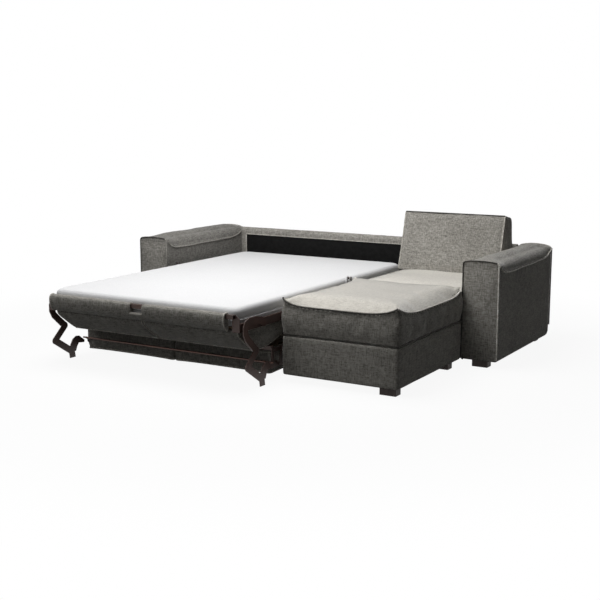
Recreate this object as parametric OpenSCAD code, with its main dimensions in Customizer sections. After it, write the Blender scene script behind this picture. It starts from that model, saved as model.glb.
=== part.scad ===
// Corner sofa bed, shown unfolded: two arms, a low back, a chaise end with a pouf
// in front, and a three-section bed whose seat and back cushions travel upside down
// under the mattress. X runs along the sofa, Y to its rear, Z up. The origin is on the
// floor, at the middle of the whole footprint.

/* [Sofa body] */
// Overall width over both arms
sofa_w = 2550; // [2450:10:2700]
// Width of each arm
arm_w = 216; // [180:1:240]
// Depth of each arm, which is the depth of the closed sofa
arm_d = 942; // [930:1:1000]
// Height of the arm's casing, where its top pad starts
arm_h = 540; // [500:1:560]
// Thickness of the arm's top pad at its edge
arm_pad_t = 64; // [40:1:80]
// Height of the block feet
foot_h = 40; // [30:1:50]
// Width of a block foot
foot_w = 95; // [60:1:110]
// Depth of a block foot
foot_d = 62; // [40:1:80]
// Wall of the wooden casings under the fabric
casing_t = 18; // [12:1:24]
// Rounding of the casings' upright edges
casing_r = 16; // [6:1:24]
// Height of the low back's top rail above the floor
back_h = 607; // [560:1:640]
// Height of the padded rail along the back's top
rail_h = 49; // [40:1:60]
// Depth of the padded rail
rail_d = 42; // [36:1:43]
// Thickness of the outer rear cover
rear_cover_t = 4; // [2:1:6]
// Thickness of the back panel
panel_t = 26; // [18:1:28]
// Thickness of the dark felt lining on the panel
lining_t = 6; // [2:1:8]
// Width of the padded post between the left arm and the lining
post_w = 46; // [30:1:50]

/* [Chaise and pouf] */
// Width of the pouf, which lengthens the chaise's seat
chaise_w = 693; // [640:1:740]
// Height of the seam between the bases and their cushions
base_h = 256; // [230:1:270]
// Height of the chaise seat at its edge
seat_h = 441; // [420:1:450]
// Height of the pouf's cushion at its corners
pouf_h = 457; // [430:1:470]
// Length of the pouf
pouf_d = 843; // [700:1:900]
// Gap between the pouf and the chaise
pouf_gap = 4; // [2:1:12]
// Height of the chaise's back cushion
back_cushion_top = 800; // [760:1:840]
// Gap that keeps each soft piece clear of what carries it
soft_gap = 0.3; // [0.2:0.1:0.5]

/* [Bed] */
// Width of the mattress
mattress_w = 1270; // [1200:5:1290]
// Thickness of the mattress
mattress_t = 100; // [80:1:101]
// Height of the mattress top above the floor
bed_h = 446; // [444:1:450]
// Distance of the mattress's head from the sofa's rear
head_y = 120; // [118:1:140]
// Distance of the head fold from the sofa's rear
fold_y = 900; // [890:1:905]
// Distance of the foot fold from the sofa's rear
foot_fold_y = 1618; // [1612:1:1622]
// Distance of the mattress's foot from the sofa's rear
bed_end_y = 2112; // [2080:1:2140]
// Rounding of the mattress's four upright corners
mattress_r = 60; // [30:1:80]
// Width of a wooden slat
slat_w = 63; // [50:1:70]
// Thickness of a slat
slat_t = 8; // [6:1:9]
// Slats under each section of the mattress
slats = 5; // [3:1:6]
// Slats along the seat frame
seat_slats = 6; // [4:2:8]

/* [Bed mechanism] */
// Clear distance from the mattress to the side rails
rail_gap = 6; // [4:1:8]
// Width of a side rail
side_rail_w = 16; // [14:1:18]
// Height of a side rail
side_rail_h = 45; // [40:1:50]
// Depth of a side rail's underside below the mattress
rail_drop = 26; // [24:1:27]
// Side of a square cross tube
tube = 22; // [20:1:24]
// Wall of the tubes and side rails
tube_wall = 2; // [1.5:0.5:3]
// Thickness of the hinge plates and parallel links
plate_t = 4; // [3:1:4]
// Thickness of the curved leg bars
leg_t = 6; // [5:1:6]
// Thickness of the swing links and of the fixed side plates
link_t = 5; // [4:1:5]
// Width of the swing links
link_w = 36; // [30:1:40]
// Radius of the hinge pins
pin_r = 6; // [5:0.5:7]
// Radial running clearance of a hinge pin
pin_gap = 0.05; // [0.02:0.01:0.1]
// Radial clearance at the pivots that close a linkage
open_gap = 0.3; // [0.2:0.1:0.5]
// Drop of the head section when the bed is closed
drop = 300; // [296:1:302]
// Angle of the swing links above the level when the bed is open
swing_a = 30; // [29:1:31]
// Radius of the rod across the seat frame's end
rod_r = 5; // [4:1:6]
// Thickness of the battens between the side plates and the casings
batten_t = 23.5; // [15:0.5:40]

/* [Seat and back cushions under the bed] */
// Length of the seat frame
seat_len = 632; // [620:1:634]
// Distance of the seat frame's end from the sofa's rear, bed open
seat_end_y = 1813; // [1811:1:1815]
// Height of the seat cushions above the floor, bed open
seat_low = 26; // [24:1:28]
// Thickness of the seat cushions
seat_t = 140; // [120:1:141]
// Gap between two cushions side by side
cushion_gap = 3; // [2:1:8]
// Height of the back cushions above the floor, bed open
back_low = 195; // [194:1:200]
// How far each end of the foot roll stays inside the mattress's sides
roll_inset = 27; // [15:0.5:85]
// Height of the padded roll
roll_h = 84; // [70:1:90]
// Depth of the padded roll
roll_d = 42; // [36:1:44]
// Width of the hand hole in the padded roll
hand_w = 84; // [80:1:120]

/* [Hidden] */

// Colours
fabric_c = "#8a8883";
dark_fabric_c = "#6f6d69";
felt_c = "#1d1c1b";
white_c = "#eceae6";
steel_c = "#3b2c25";
wood_c = "#b79a72";
block_c = "#241a15";

// Fineness of round things
$fn = 48;
// Run of a cutting shape past the face that it cuts
over = 1;

// Distances outward from the bay's middle, one layer of the mechanism after the other
step = 1;
link_play = 2.5;
leg_play = 1.5;
swing_play = 2;
seat_play = 2;
rail_u = mattress_w / 2 + rail_gap;
roll_w = mattress_w - 2 * roll_inset;
rail_out_u = rail_u + side_rail_w;
bracket_u = rail_out_u;
parallel_u = bracket_u + plate_t + link_play;
leg_u = parallel_u + plate_t + leg_play;
swing_u = leg_u + leg_t + swing_play;
side_u = swing_u + link_t + swing_play;
batten_u = side_u + link_t;
batten_out_u = batten_u + batten_t;
seat_plate_u = rail_out_u - plate_t - step;
seat_side_u = seat_plate_u - seat_play;

// Places across the sofa: the chaise takes what the arms and the bed's bay leave of the width
left_x = -sofa_w / 2;
right_x = sofa_w / 2;
bay_x0 = left_x + arm_w;
bay_w = 2 * batten_out_u;
bay_mid = bay_x0 + batten_out_u;
chaise_x0 = bay_x0 + bay_w;
chaise_x1 = right_x - arm_w;
seat_w = chaise_x1 - chaise_x0;

// Places along the sofa: the rear plane, and the front face of the roll at the bed's foot
roll_gap = 1;
bed_reach = bed_end_y + roll_gap + roll_d;
rear_y = bed_reach / 2;
function y_at(from_rear) = rear_y - from_rear;
head_end = y_at(head_y);
fold = y_at(fold_y);
foot_fold = y_at(foot_fold_y);
bed_end = y_at(bed_end_y);
roll_front = y_at(bed_reach);

// Heights in the bed
mattress_z = bed_h - mattress_t;
slat_z = mattress_z - soft_gap - slat_t;
rail_z = mattress_z - rail_drop;
tube_z = slat_z - tube;
fold_z = bed_h + over;
hinge_eye = 2 * pin_r - over;
foot_pin_z = rail_z - hinge_eye - over;

// The swing links' pivots, and how far the front one and the rear one are from the sofa's rear
rear_swing_run = 190;
front_swing_run = 540;
link_l = drop / (2 * sin(swing_a));
link_run = link_l * cos(swing_a);
head_pin_z = rail_z + side_rail_h / 3;
swing_z = head_pin_z - drop / 2;
rear_swing_y = y_at(rear_swing_run);
front_swing_y = y_at(front_swing_run);

// The seat frame's pivots: P on the foot section's bracket and the parallel link's, level with it
seat_pin_run = 102.5;
seat_pin_drop = 220.5;
seat_pin = [y_at(foot_fold_y + seat_pin_run), foot_pin_z - seat_pin_drop];
parallel_run = 300;

// The leg's pivot on the foot section's side rail
leg_pin_run = 1900;
leg_pin = [y_at(leg_pin_run), rail_z + side_rail_h / 2];

// Shapes that repeat

// A rectangle with round corners, from its lowest corner
module round_rect(w, d, r) {
    translate([r, 0]) square([w - 2 * r, d]);
    translate([0, r]) square([w, d - 2 * r]);
    for (x = [r, w - r]) for (y = [r, d - r]) translate([x, y]) circle(r);
}

// A closed, hollow casing of boards with round upright edges
module casing(size) {
    wall = [casing_t, casing_t, casing_t];
    difference() {
        linear_extrude(size.z) round_rect(size.x, size.y, casing_r);
        translate(wall) cube(size - 2 * wall);
    }
}

// A profile drawn in Y and Z, made into a plate of thickness t that starts at x
module plate(x, t) {
    translate([x, 0, 0]) rotate([90, 0, 90]) linear_extrude(t) children();
}

// How far a bar's round ends stand proud of its sides
eye_proud = 0.5;

// A flat bar between two points of a profile
module bar(a, b, w) {
    v = b - a;
    side_w = w - 2 * eye_proud;
    translate(a) rotate(atan2(v.y, v.x)) translate([0, -side_w / 2]) square([norm(v), side_w]);
    translate(a) circle(d = w);
    translate(b) circle(d = w);
}

// A chain of flat bars through a list of points
module bars(points, w) {
    for (i = [0:len(points) - 2]) bar(points[i], points[i + 1], w);
}

// How far a pin's head stands proud of the pin
pin_head_proud = 2;

// A pin along X at a point of the profile, with a flat head at its outer end
module pin(x0, x1, at, head_t = step) {
    translate([x0, at.x, at.y]) rotate([0, 90, 0]) {
        cylinder(h = x1 - x0, r = pin_r);
        translate([0, 0, x1 - x0]) cylinder(h = head_t, r = pin_r + pin_head_proud);
    }
}

// Places its children on the left, side -1, or the right, side 1, of the bay's middle
module on_side(side) {
    translate([bay_mid, 0, 0])
        if (side < 0) mirror([1, 0, 0]) children();
        else children();
}

// A square tube along X between two distances from the bay's middle
module cross_tube(half, y, z) {
    translate([bay_mid - half, y, z]) difference() {
        cube([2 * half, tube, tube]);
        translate([-over, tube_wall, tube_wall])
            cube([2 * half + 2 * over, tube - 2 * tube_wall, tube - 2 * tube_wall]);
    }
}

// Soft forms: rings of points, one above the other, closed by a point at each end

// Places along one side of a ring, close together near the corners
function side_steps(n) = [for (i = [0:n - 1]) sin(-90 + 180 * i / n)];
// Points round a unit square, with each point's place along its side as a third value
function unit_ring(n) = [
    for (k = [0:3]) for (s = side_steps(n))
        k == 0 ? [s, -1, s] : k == 1 ? [1, s, s] : k == 2 ? [-s, 1, s] : [-1, -s, s]
];
function held(v, limit) = max(-limit, min(limit, v));
// One point of a rectangle's outline with its corners rounded to r
function rounded(p, w, d, r) =
    let (q = [p.x * w / 2, p.y * d / 2],
         c = [held(q.x, w / 2 - r), held(q.y, d / 2 - r)],
         v = q - c)
    c + v * r / norm(v);
// That point drawn in towards the middle, most at the middle of a side
function drawn(p, s, w, d, draw) =
    let (k = draw * (1 - s * s))
    [p.x - k * sign(p.x) * pow(abs(2 * p.x / w), 6), p.y - k * sign(p.y) * pow(abs(2 * p.y / d), 6)];

// Triangles that close a stack of rings of m points with a first and a last point
function stack_faces(rings, m) = concat(
    [for (i = [0:m - 1]) [0, 1 + i, 1 + (i + 1) % m]],
    [for (k = [0:rings - 2]) for (i = [0:m - 1]) each [
        [1 + k * m + i, 1 + (k + 1) * m + i, 1 + (k + 1) * m + (i + 1) % m],
        [1 + k * m + i, 1 + (k + 1) * m + (i + 1) % m, 1 + k * m + (i + 1) % m]
    ]],
    [for (i = [0:m - 1]) [1 + rings * m, 1 + (rings - 1) * m + (i + 1) % m, 1 + (rings - 1) * m + i]]
);

// Shares of the edge's rounding and of the height that set each ring of a boxed cushion
side_ring_shares = [[1, 0, 0], [0.3, 0.3, 0], [0, 1, 0], [0, 0, 0.5], [0, -1, 1], [0.3, -0.3, 1]];
top_ring_shares = [0.95, 0.82, 0.6, 0.35];
ring_sides = 9;

// A boxed cushion with a flat underside, a crowned top, sides drawn in and a seam that dips
// between the corners, the more evenly the higher its power. Its corner is the box's lowest.
module cushion(size, r, edge, crown, draw, dip, dip_power = 2) {
    unit = unit_ring(ring_sides);
    m = len(unit);
    side_rings = [for (g = side_ring_shares) [for (p = unit)
        let (w = size.x - 2 * edge * g.x, d = size.y - 2 * edge * g.x,
             q = drawn(rounded(p, w, d, r), p.z, w, d, draw),
             z = edge * g.y + size.z * g.z - (g.z == 1 ? dip * (1 - pow(abs(p.z), dip_power)) : 0))
        [q.x, q.y, z]]];
    top_rings = [for (t = top_ring_shares) [for (p = unit)
        let (w = size.x - 2 * edge, d = size.y - 2 * edge,
             q = drawn(rounded(p, w, d, r), p.z, w, d, draw) * t,
             z = size.z + crown * (1 - t * t) - dip * (1 - pow(abs(p.z), dip_power)) * pow(t, 6))
        [q.x, q.y, z]]];
    rings = concat(side_rings, top_rings);
    points = concat([[0, 0, 0]], [for (g = rings) each g], [[0, 0, size.z + crown]]);
    translate([size.x / 2, size.y / 2, 0])
        polyhedron(points, stack_faces(len(rings), m), convexity = 4);
}

// Shares of the width at which a lofted pad has its rings, and how full the profile is there
loft_shares = [[0, 0.9], [0.012, 0.96], [0.05, 0.99], [0.25, 1], [0.5, 1], [0.75, 1],
    [0.95, 0.99], [0.988, 0.96], [1, 0.9]];

// A pad lofted along X from a profile in Y and Z that swells towards its middle
module lofted(x0, w, profile, crown_share, draw) {
    m = len(profile);
    mid = [for (k = [0, 1]) [for (p = profile) p[k]] * [for (p = profile) 1] / m];
    rings = [for (g = loft_shares)
        let (k = g.y - crown_share * (1 - 4 * g.x * (1 - g.x)))
        [for (p = profile) let (q = mid + (p - mid) * k) [x0 + w * g.x, q.x, q.y]]];
    points = concat([[x0 + draw, mid.x, mid.y]], [for (g = rings) each g],
        [[x0 + w - draw, mid.x, mid.y]]);
    polyhedron(points, stack_faces(len(rings), m), convexity = 4);
}

// Arms

arm_crown = 9;
arm_edge = 14;
arm_pad_r = 22;
arm_draw = 2;
arm_dip = 3;

module arm_casing(x) {
    color(fabric_c) translate([x, rear_y - arm_d, foot_h])
        casing([arm_w, arm_d, arm_h - foot_h]);
}

module arm_pad(x) {
    color(fabric_c) translate([x, rear_y - arm_d, arm_h + soft_gap])
        cushion([arm_w, arm_d, arm_pad_t], arm_pad_r, arm_edge, arm_crown, arm_draw, arm_dip);
}

module left_arm_casing() arm_casing(left_x);
module left_arm_pad() arm_pad(left_x);
module right_arm_casing() arm_casing(chaise_x1);
module right_arm_pad() arm_pad(chaise_x1);

// Low back

back_x0 = bay_x0 + soft_gap;
back_w = chaise_x1 - bay_x0 - 2 * soft_gap;
panel_y = rear_y - rear_cover_t - panel_t;
rail_low = back_h - rail_h;
rail_r = 10;

module rear_cover() {
    color(dark_fabric_c) translate([back_x0, rear_y - rear_cover_t, foot_h])
        cube([back_w, rear_cover_t, rail_low - foot_h]);
}

module back_panel() {
    color(wood_c) translate([back_x0, panel_y, foot_h])
        cube([back_w, panel_t, rail_low - foot_h]);
}

module back_lining() {
    color(felt_c) translate([bay_x0 + post_w, panel_y - lining_t, foot_h])
        cube([bay_w - post_w, lining_t, rail_low - foot_h]);
}

// The padded rail along the back's top
module back_rail() {
    color(fabric_c) translate([back_x0, 0, 0]) plate(0, back_w)
        translate([rear_y - rail_d, rail_low]) round_rect(rail_d, rail_h, rail_r);
}

// The padded post in the corner beside the left arm
module back_post() {
    color(fabric_c) translate([back_x0, panel_y - lining_t, foot_h])
        cube([post_w - 2 * soft_gap, lining_t, rail_low - foot_h]);
}

// Feet

foot_inset = 18;
foot_r = 4;

module block_foot(x, y) {
    translate([x, y, 0]) linear_extrude(foot_h) round_rect(foot_w, foot_d, foot_r);
}

// The feet under both arms and under the back's middle
module sofa_feet() {
    arm_foot_x = (arm_w - foot_w) / 2;
    color(block_c) {
        for (x = [left_x + arm_foot_x, chaise_x1 + arm_foot_x])
            for (y = [rear_y - arm_d + foot_inset, rear_y - foot_inset - foot_d]) block_foot(x, y);
        block_foot(bay_mid - foot_w / 2, rear_beam_y);
        for (y = [rear_y - arm_d + foot_inset, panel_y - lining_t - foot_inset - foot_d])
            block_foot(chaise_x0 + foot_inset, y);
    }
}

// Chaise

chaise_rear = panel_y - lining_t - soft_gap;
chaise_d = chaise_rear - (rear_y - arm_d);
chaise_crown = 8;
cushion_r = 30;
cushion_edge = 15;
seat_draw = 4;
seat_dip = 4;
loft_draw = 3;
back_foot_y = 350;
back_top_y = 243;

module chaise_base() {
    color(fabric_c) translate([chaise_x0, rear_y - arm_d, foot_h])
        casing([seat_w - soft_gap, chaise_d, base_h - foot_h]);
}

module chaise_seat_cushion() {
    color(fabric_c) translate([chaise_x0 + soft_gap, rear_y - arm_d, base_h + soft_gap])
        cushion([seat_w - 3 * soft_gap, chaise_d, seat_h - base_h - chaise_crown],
            cushion_r, cushion_edge, chaise_crown, seat_draw, seat_dip);
}

// Side profile of the chaise's back cushion: shares of its depth from front to rear, and of
// its height
chaise_back_shares = [
    [0, 0.03], [0.12, 0.35], [0.235, 0.68], [0.32, 0.93], [0.37, 0.985], [0.44, 1], [0.52, 0.99],
    [0.58, 0.94], [0.63, 0.8], [0.68, 0.6], [0.75, 0.45], [0.85, 0.33], [0.94, 0.18], [0.955, 0.03],
    [0.92, 0], [0.5, 0], [0.03, 0]
];
chaise_back_profile = [for (p = chaise_back_shares)
    [y_at(back_foot_y) + (back_foot_y - rail_d) * p.x,
     seat_h + soft_gap + (back_cushion_top - seat_h) * p.y]];

chaise_swell_share = 0.03;

module chaise_back_cushion() {
    color(fabric_c) lofted(chaise_x0 + step, seat_w - 3 * step,
        chaise_back_profile, chaise_swell_share, loft_draw);
}

// Pouf

pouf_front = rear_y - arm_d - pouf_gap - pouf_d;
pouf_crown = 16;
pouf_dip = 34;
pouf_dip_power = 6;
pouf_draw = 5;

module pouf_base() {
    color(fabric_c) translate([chaise_x0, pouf_front, foot_h])
        casing([chaise_w, pouf_d, base_h - foot_h]);
}

module pouf_cushion() {
    color(fabric_c) translate([chaise_x0, pouf_front, base_h + soft_gap])
        cushion([chaise_w, pouf_d, pouf_h - base_h], cushion_r, cushion_edge, pouf_crown, pouf_draw,
            pouf_dip, pouf_dip_power);
}

pouf_foot_back = 180;

// The left front foot stands back out of sight
module pouf_feet() {
    left = chaise_x0 + foot_inset;
    right = chaise_x0 + chaise_w - foot_inset - foot_w;
    front = pouf_front + foot_inset;
    color(block_c) {
        for (x = [left, right]) block_foot(x, pouf_front + pouf_d - foot_inset - 2 * foot_d);
        block_foot(right, front);
        block_foot(left, front + pouf_foot_back);
    }
}

// Fixed side plates of the bed mechanism

batten_h = 130;
plate_end = 30;
rear_play = 6;
batten_z = swing_z - batten_h / 2;
side_plate_y0 = front_swing_y - plate_end;
side_plate_y1 = y_at(rail_d + rear_play);
rear_beam_d = 62;
rear_beam_y = side_plate_y1 - rear_beam_d;
bolt_r = 4;
bolt_head_r = 6.4;
bolt_head_t = 1.5;
rear_bolt_run = 55;
front_bolt_run = 35;
bolt_rise = 35;
bolt_places = [for (y = [rear_swing_y + rear_bolt_run, front_swing_y + front_bolt_run])
    for (z = [swing_z - bolt_rise, swing_z + bolt_rise]) [y, z]];

module side_profile() {
    difference() {
        translate([side_plate_y0, batten_z]) square([side_plate_y1 - side_plate_y0, batten_h]);
        for (p = bolt_places) translate(p) circle(bolt_r);
    }
}

module batten(side) {
    color(wood_c) on_side(side) plate(batten_u, batten_out_u - batten_u) side_profile();
}

module side_plate(side) {
    color(steel_c) on_side(side) plate(side_u, link_t) side_profile();
}

module left_batten() batten(-1);
module right_batten() batten(1);
module left_side_plate() side_plate(-1);
module right_side_plate() side_plate(1);

// The board across the bay's rear that ties both side plates
module rear_beam() {
    beam_z = foot_h;
    color(wood_c) translate([bay_mid - side_u, rear_beam_y, beam_z])
        cube([2 * side_u, rear_beam_d, batten_z + batten_h / 2 - beam_z]);
}

// Low-headed bolts that hold the side plates to their battens
module plate_bolts() {
    color(steel_c) for (side = [-1, 1]) on_side(side) for (p = bolt_places)
        translate([side_u, p.x, p.y]) rotate([0, 90, 0]) {
            cylinder(h = batten_out_u - side_u, r = bolt_r);
            translate([0, 0, -bolt_head_t]) cylinder(h = bolt_head_t, r = bolt_head_r);
        }
}

// The swing links' pins on the side plates
module swing_pins() {
    color(steel_c) for (side = [-1, 1]) on_side(side)
        for (y = [rear_swing_y, front_swing_y])
            translate([swing_u - step / 2, y, swing_z]) rotate([0, 90, 0]) {
                cylinder(h = side_u - swing_u + step / 2, r = pin_r);
            }
}

// Swing links: they carry the head section, level throughout

module swing_link(side, y, far_gap) {
    near = [y, swing_z];
    far = [y - link_run, head_pin_z];
    color(steel_c) on_side(side) plate(swing_u, link_t) difference() {
        bar(near, far, link_w);
        translate(near) circle(pin_r + pin_gap);
        translate(far) circle(pin_r + far_gap);
    }
}

module left_rear_link() swing_link(-1, rear_swing_y, open_gap);
module right_rear_link() swing_link(1, rear_swing_y, open_gap);
module left_front_link() swing_link(-1, front_swing_y, pin_gap);
module right_front_link() swing_link(1, front_swing_y, pin_gap);

// Side rails: hollow, with a plate or lug at each hinge

// The inside of a rail between two places along Y
module rail_bore(y0, y1) {
    translate([rail_u + tube_wall, y0 + tube_wall, rail_z + tube_wall])
        cube([side_rail_w - 2 * tube_wall, y1 - y0 - 2 * tube_wall, side_rail_h - 2 * tube_wall]);
}

// A rail with its hinge plates left to the caller
module rail(y0, y1, w = side_rail_w) {
    difference() {
        translate([rail_u, y0, rail_z]) cube([w, y1 - y0, side_rail_h]);
        rail_bore(y0, y1);
    }
}

ear_foot = 60;

// An upright plate at the head fold, reaching back along its rail to the side dir, down to low
module fold_ear(x, dir, hole, low) {
    rail_top = rail_z + side_rail_h;
    plate(x, plate_t) difference() {
        union() {
            bar([fold, fold_z], [fold + dir * ear_foot / 2, rail_top], 2 * hinge_eye);
            translate([min(fold + dir * step, fold + dir * ear_foot), low])
                square([ear_foot - step, rail_top - low]);
        }
        translate([fold, fold_z]) circle(hole);
    }
}

section_gap = 1;

module head_rail(side) {
    color(steel_c) on_side(side) {
        rail(fold + 2 * section_gap, head_end - section_gap);
        fold_ear(rail_out_u, 1, pin_r, rail_z);
    }
}

module left_head_rail() head_rail(-1);
module right_head_rail() head_rail(1);

// A section's two cross tubes, near its ends, and its slats between them
module section_tubes(y0, y1) {
    color(steel_c) for (y = [y0 + slat_w / 2, y1 - slat_w / 2 - tube]) cross_tube(rail_u, y, tube_z);
}

module section_slats(y0, y1) {
    pitch = (y1 - y0 - slat_w - 2 * section_gap) / (slats - 1);
    color(wood_c) for (i = [0:slats - 1])
        translate([bay_mid - rail_u, y0 + section_gap + i * pitch, slat_z])
            cube([2 * rail_u, slat_w, slat_t]);
}

module head_tubes() section_tubes(fold, head_end);
module head_slats() section_slats(fold, head_end);

// Pins at the head fold and those that carry the swing links' far ends
module head_pins() {
    color(steel_c) for (side = [-1, 1]) on_side(side) {
        pin(rail_u - plate_t - step / 2, rail_out_u + plate_t, [fold, fold_z], step);
        for (y = [rear_swing_y, front_swing_y])
            pin(rail_out_u, swing_u + link_t + step / 2, [y - link_run, head_pin_z], step);
    }
}

// Mattress sections. The ends that meet at a fold are flat, the bed's own corners are round.

mattress_edge = 12;
mattress_arc = 16;
// Thickness of the thin slices that the mattress's hull is drawn over
hull_slice = 0.01;

// Half the mattress's outline: from its middle line, with round corners at y_end
module mattress_section(y_flat, y_end) {
    dir = sign(y_end - y_flat);
    len_y = abs(y_end - y_flat);
    color(white_c) translate([bay_mid, y_flat, mattress_z]) rotate([0, 0, dir > 0 ? 0 : 180]) {
        difference() {
            hull() for (z = [0, mattress_t - mattress_edge / 2])
                for (grow = [0, 1]) translate([0, 0, z + grow * mattress_edge / 2])
                    linear_extrude(hull_slice)
                        mattress_outline(mattress_w - mattress_edge * (z > 0 ? grow : 1 - grow),
                            len_y - mattress_edge / 2 * (z > 0 ? grow : 1 - grow));
            translate([-mattress_w, -2 * mattress_r, -over])
                cube([2 * mattress_w, 2 * mattress_r, mattress_t + 2 * over]);
        }
    }
}

module mattress_outline(w, d) {
    translate([-w / 2, -2 * mattress_r])
        offset(r = mattress_r, $fn = mattress_arc) offset(delta = -mattress_r)
            square([w, d + 2 * mattress_r]);
}

module head_mattress() mattress_section(fold + section_gap / 2, head_end);
module foot_mattress() mattress_section(foot_fold - section_gap / 2, bed_end);

module middle_mattress() {
    d = fold_y - foot_fold_y;
    color(white_c) translate([bay_mid - mattress_w / 2, foot_fold + section_gap / 2, mattress_z])
        cube([mattress_w, -d - section_gap, mattress_t]);
}

// Middle section

middle_rail_w = side_rail_w - step / 2;

module middle_rail(side) {
    parallel_y = foot_fold + parallel_run;
    color(steel_c) on_side(side) {
        rail(foot_fold + 2 * section_gap, fold - 2 * section_gap, middle_rail_w);
        fold_ear(rail_u - plate_t, -1, pin_r + pin_gap, mattress_z);
        plate(rail_u, middle_rail_w) {
            difference() {
                union() {
                    translate([foot_fold, foot_pin_z]) circle(hinge_eye);
                    translate([foot_fold + 2 * section_gap, foot_pin_z - hinge_eye])
                        square([2 * side_rail_h, rail_z - foot_pin_z + hinge_eye]);
                    translate([foot_fold, foot_pin_z - hinge_eye])
                        square([2 * section_gap, 2 * hinge_eye]);
                }
                translate([foot_fold, foot_pin_z]) circle(pin_r);
            }
            difference() {
                translate([parallel_y - tube, foot_pin_z - hinge_eye])
                    square([2 * tube, rail_z - foot_pin_z + hinge_eye]);
                translate([parallel_y, foot_pin_z]) circle(pin_r);
            }
        }
    }
}

module left_middle_rail() middle_rail(-1);
module right_middle_rail() middle_rail(1);
module middle_tubes() section_tubes(foot_fold, fold);
module middle_slats() section_slats(foot_fold, fold);

// Pins at the foot fold and at the parallel links' upper ends
module middle_pins() {
    color(steel_c) for (side = [-1, 1]) on_side(side) {
        pin(rail_u, bracket_u + plate_t + step / 2, [foot_fold, foot_pin_z]);
        pin(rail_u, parallel_u + plate_t + step / 2, [foot_fold + parallel_run, foot_pin_z],
            step / 2);
    }
}

module parallel_link(side) {
    upper = [foot_fold + parallel_run, foot_pin_z];
    lower = seat_pin + [parallel_run, 0];
    color(steel_c) on_side(side) plate(parallel_u, plate_t) difference() {
        bar(upper, lower, link_w);
        translate(upper) circle(pin_r + pin_gap);
        translate(lower) circle(pin_r + open_gap);
    }
}

module left_parallel_link() parallel_link(-1);
module right_parallel_link() parallel_link(1);

// Foot section

bracket_w = 38;

module foot_rail(side) {
    color(steel_c) on_side(side) {
        rail(bed_end, foot_fold - 2 * section_gap);
        plate(bracket_u, plate_t) difference() {
            union() {
                bar([foot_fold, foot_pin_z], seat_pin, bracket_w);
                bar([foot_fold, foot_pin_z], [foot_fold - 2 * bracket_w, rail_z + side_rail_h / 2],
                    bracket_w);
            }
            for (p = [[foot_fold, foot_pin_z], seat_pin]) translate(p) circle(pin_r + pin_gap);
        }
        end_bracket();
    }
}

// The plate at the rail's end that carries the end tube
end_bracket_w = 46;
end_cut = 26;
end_cut_drop = 22;
module end_bracket() {
    h = end_tube_z + tube - rail_z;
    translate([rail_out_u - end_bracket_w, bed_end - roll_gap, rail_z]) rotate([90, 0, 0])
        linear_extrude(plate_t) polygon([
            [0, 0], [end_bracket_w, 0], [end_bracket_w, h - end_cut_drop],
            [end_bracket_w - end_cut, h], [0, h]
        ]);
    translate([rail_u, bed_end - roll_gap, rail_z])
        cube([side_rail_w, roll_gap, side_rail_h]);
}

module left_foot_rail() foot_rail(-1);
module right_foot_rail() foot_rail(1);
module foot_tubes() section_tubes(bed_end, foot_fold);
module foot_slats() section_slats(bed_end, foot_fold);

roll_low = 336;
end_tube_drop = 6;
end_tube_z = roll_low + roll_h - tube - end_tube_drop;
end_tube_y = bed_end - roll_gap - plate_t - tube;

// The tube inside the padded roll, gripped through the hand hole
module end_tube() {
    color(steel_c) cross_tube(rail_out_u - end_cut, end_tube_y, end_tube_z);
}

// The padded roll over the bed's foot end, with the hand hole in its middle
roll_round = 18;
hand_low = 34;

module foot_roll() {
    color(fabric_c) difference() {
        translate([bay_mid - roll_w / 2, 0, 0]) plate(0, roll_w)
            translate([roll_front, roll_low]) round_rect(roll_d, roll_h, roll_round);
        translate([bay_mid - roll_w / 2 - over, end_tube_y - soft_gap, end_tube_z - soft_gap])
            cube([roll_w + 2 * over, tube + plate_t + roll_d, tube + 2 * soft_gap]);
        translate([bay_mid - hand_w / 2, roll_front - over, roll_low + hand_low])
            cube([hand_w, roll_d + 2 * over, roll_h]);
    }
}

// Back cushions, face down under the foot section

back_proud = 3;
back_half_u = rail_u + back_proud;
back_top_z = tube_z - soft_gap;

// Side profile of a back cushion as it hangs under the open bed: shares of its length towards
// the bed's foot, and of its thickness
back_cushion_shares = [
    [0, 1], [0, 0.4], [0.0558, 0.33], [0.2009, 0.17], [0.3393, 0.05], [0.4688, 0], [0.625, 0],
    [0.6741, 0.05], [0.7254, 0.15], [0.8594, 0.5], [0.971, 0.82], [1, 0.95], [0.9933, 1],
    [0.6473, 1], [0.3125, 1]
];
back_start_run = 42;
back_len = 448;
back_profile = [for (p = back_cushion_shares)
    [foot_fold - back_start_run - back_len * p.x, back_low + (back_top_z - back_low) * p.y]];
back_swell_share = 0.02;

module back_cushion(side) {
    w = back_half_u - cushion_gap / 2;
    color(fabric_c) lofted(side < 0 ? bay_mid - back_half_u : bay_mid + cushion_gap / 2, w,
        back_profile, back_swell_share, loft_draw);
}

module left_back_cushion() back_cushion(-1);
module right_back_cushion() back_cushion(1);

// Curved legs at the foot end

// The leg's bar from its pivot: shares of the pivot's height, forward and down
leg_shares = [
    [0, 0], [-0.1, 0.05], [-0.26, 0.08], [-0.42, 0.085], [-0.5, 0.06], [-0.54, 0], [-0.54, -0.09],
    [-0.49, -0.183], [-0.395, -0.27], [-0.31, -0.345], [-0.235, -0.405], [-0.49, -0.628],
    [-0.12, -0.865]
];
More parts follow.
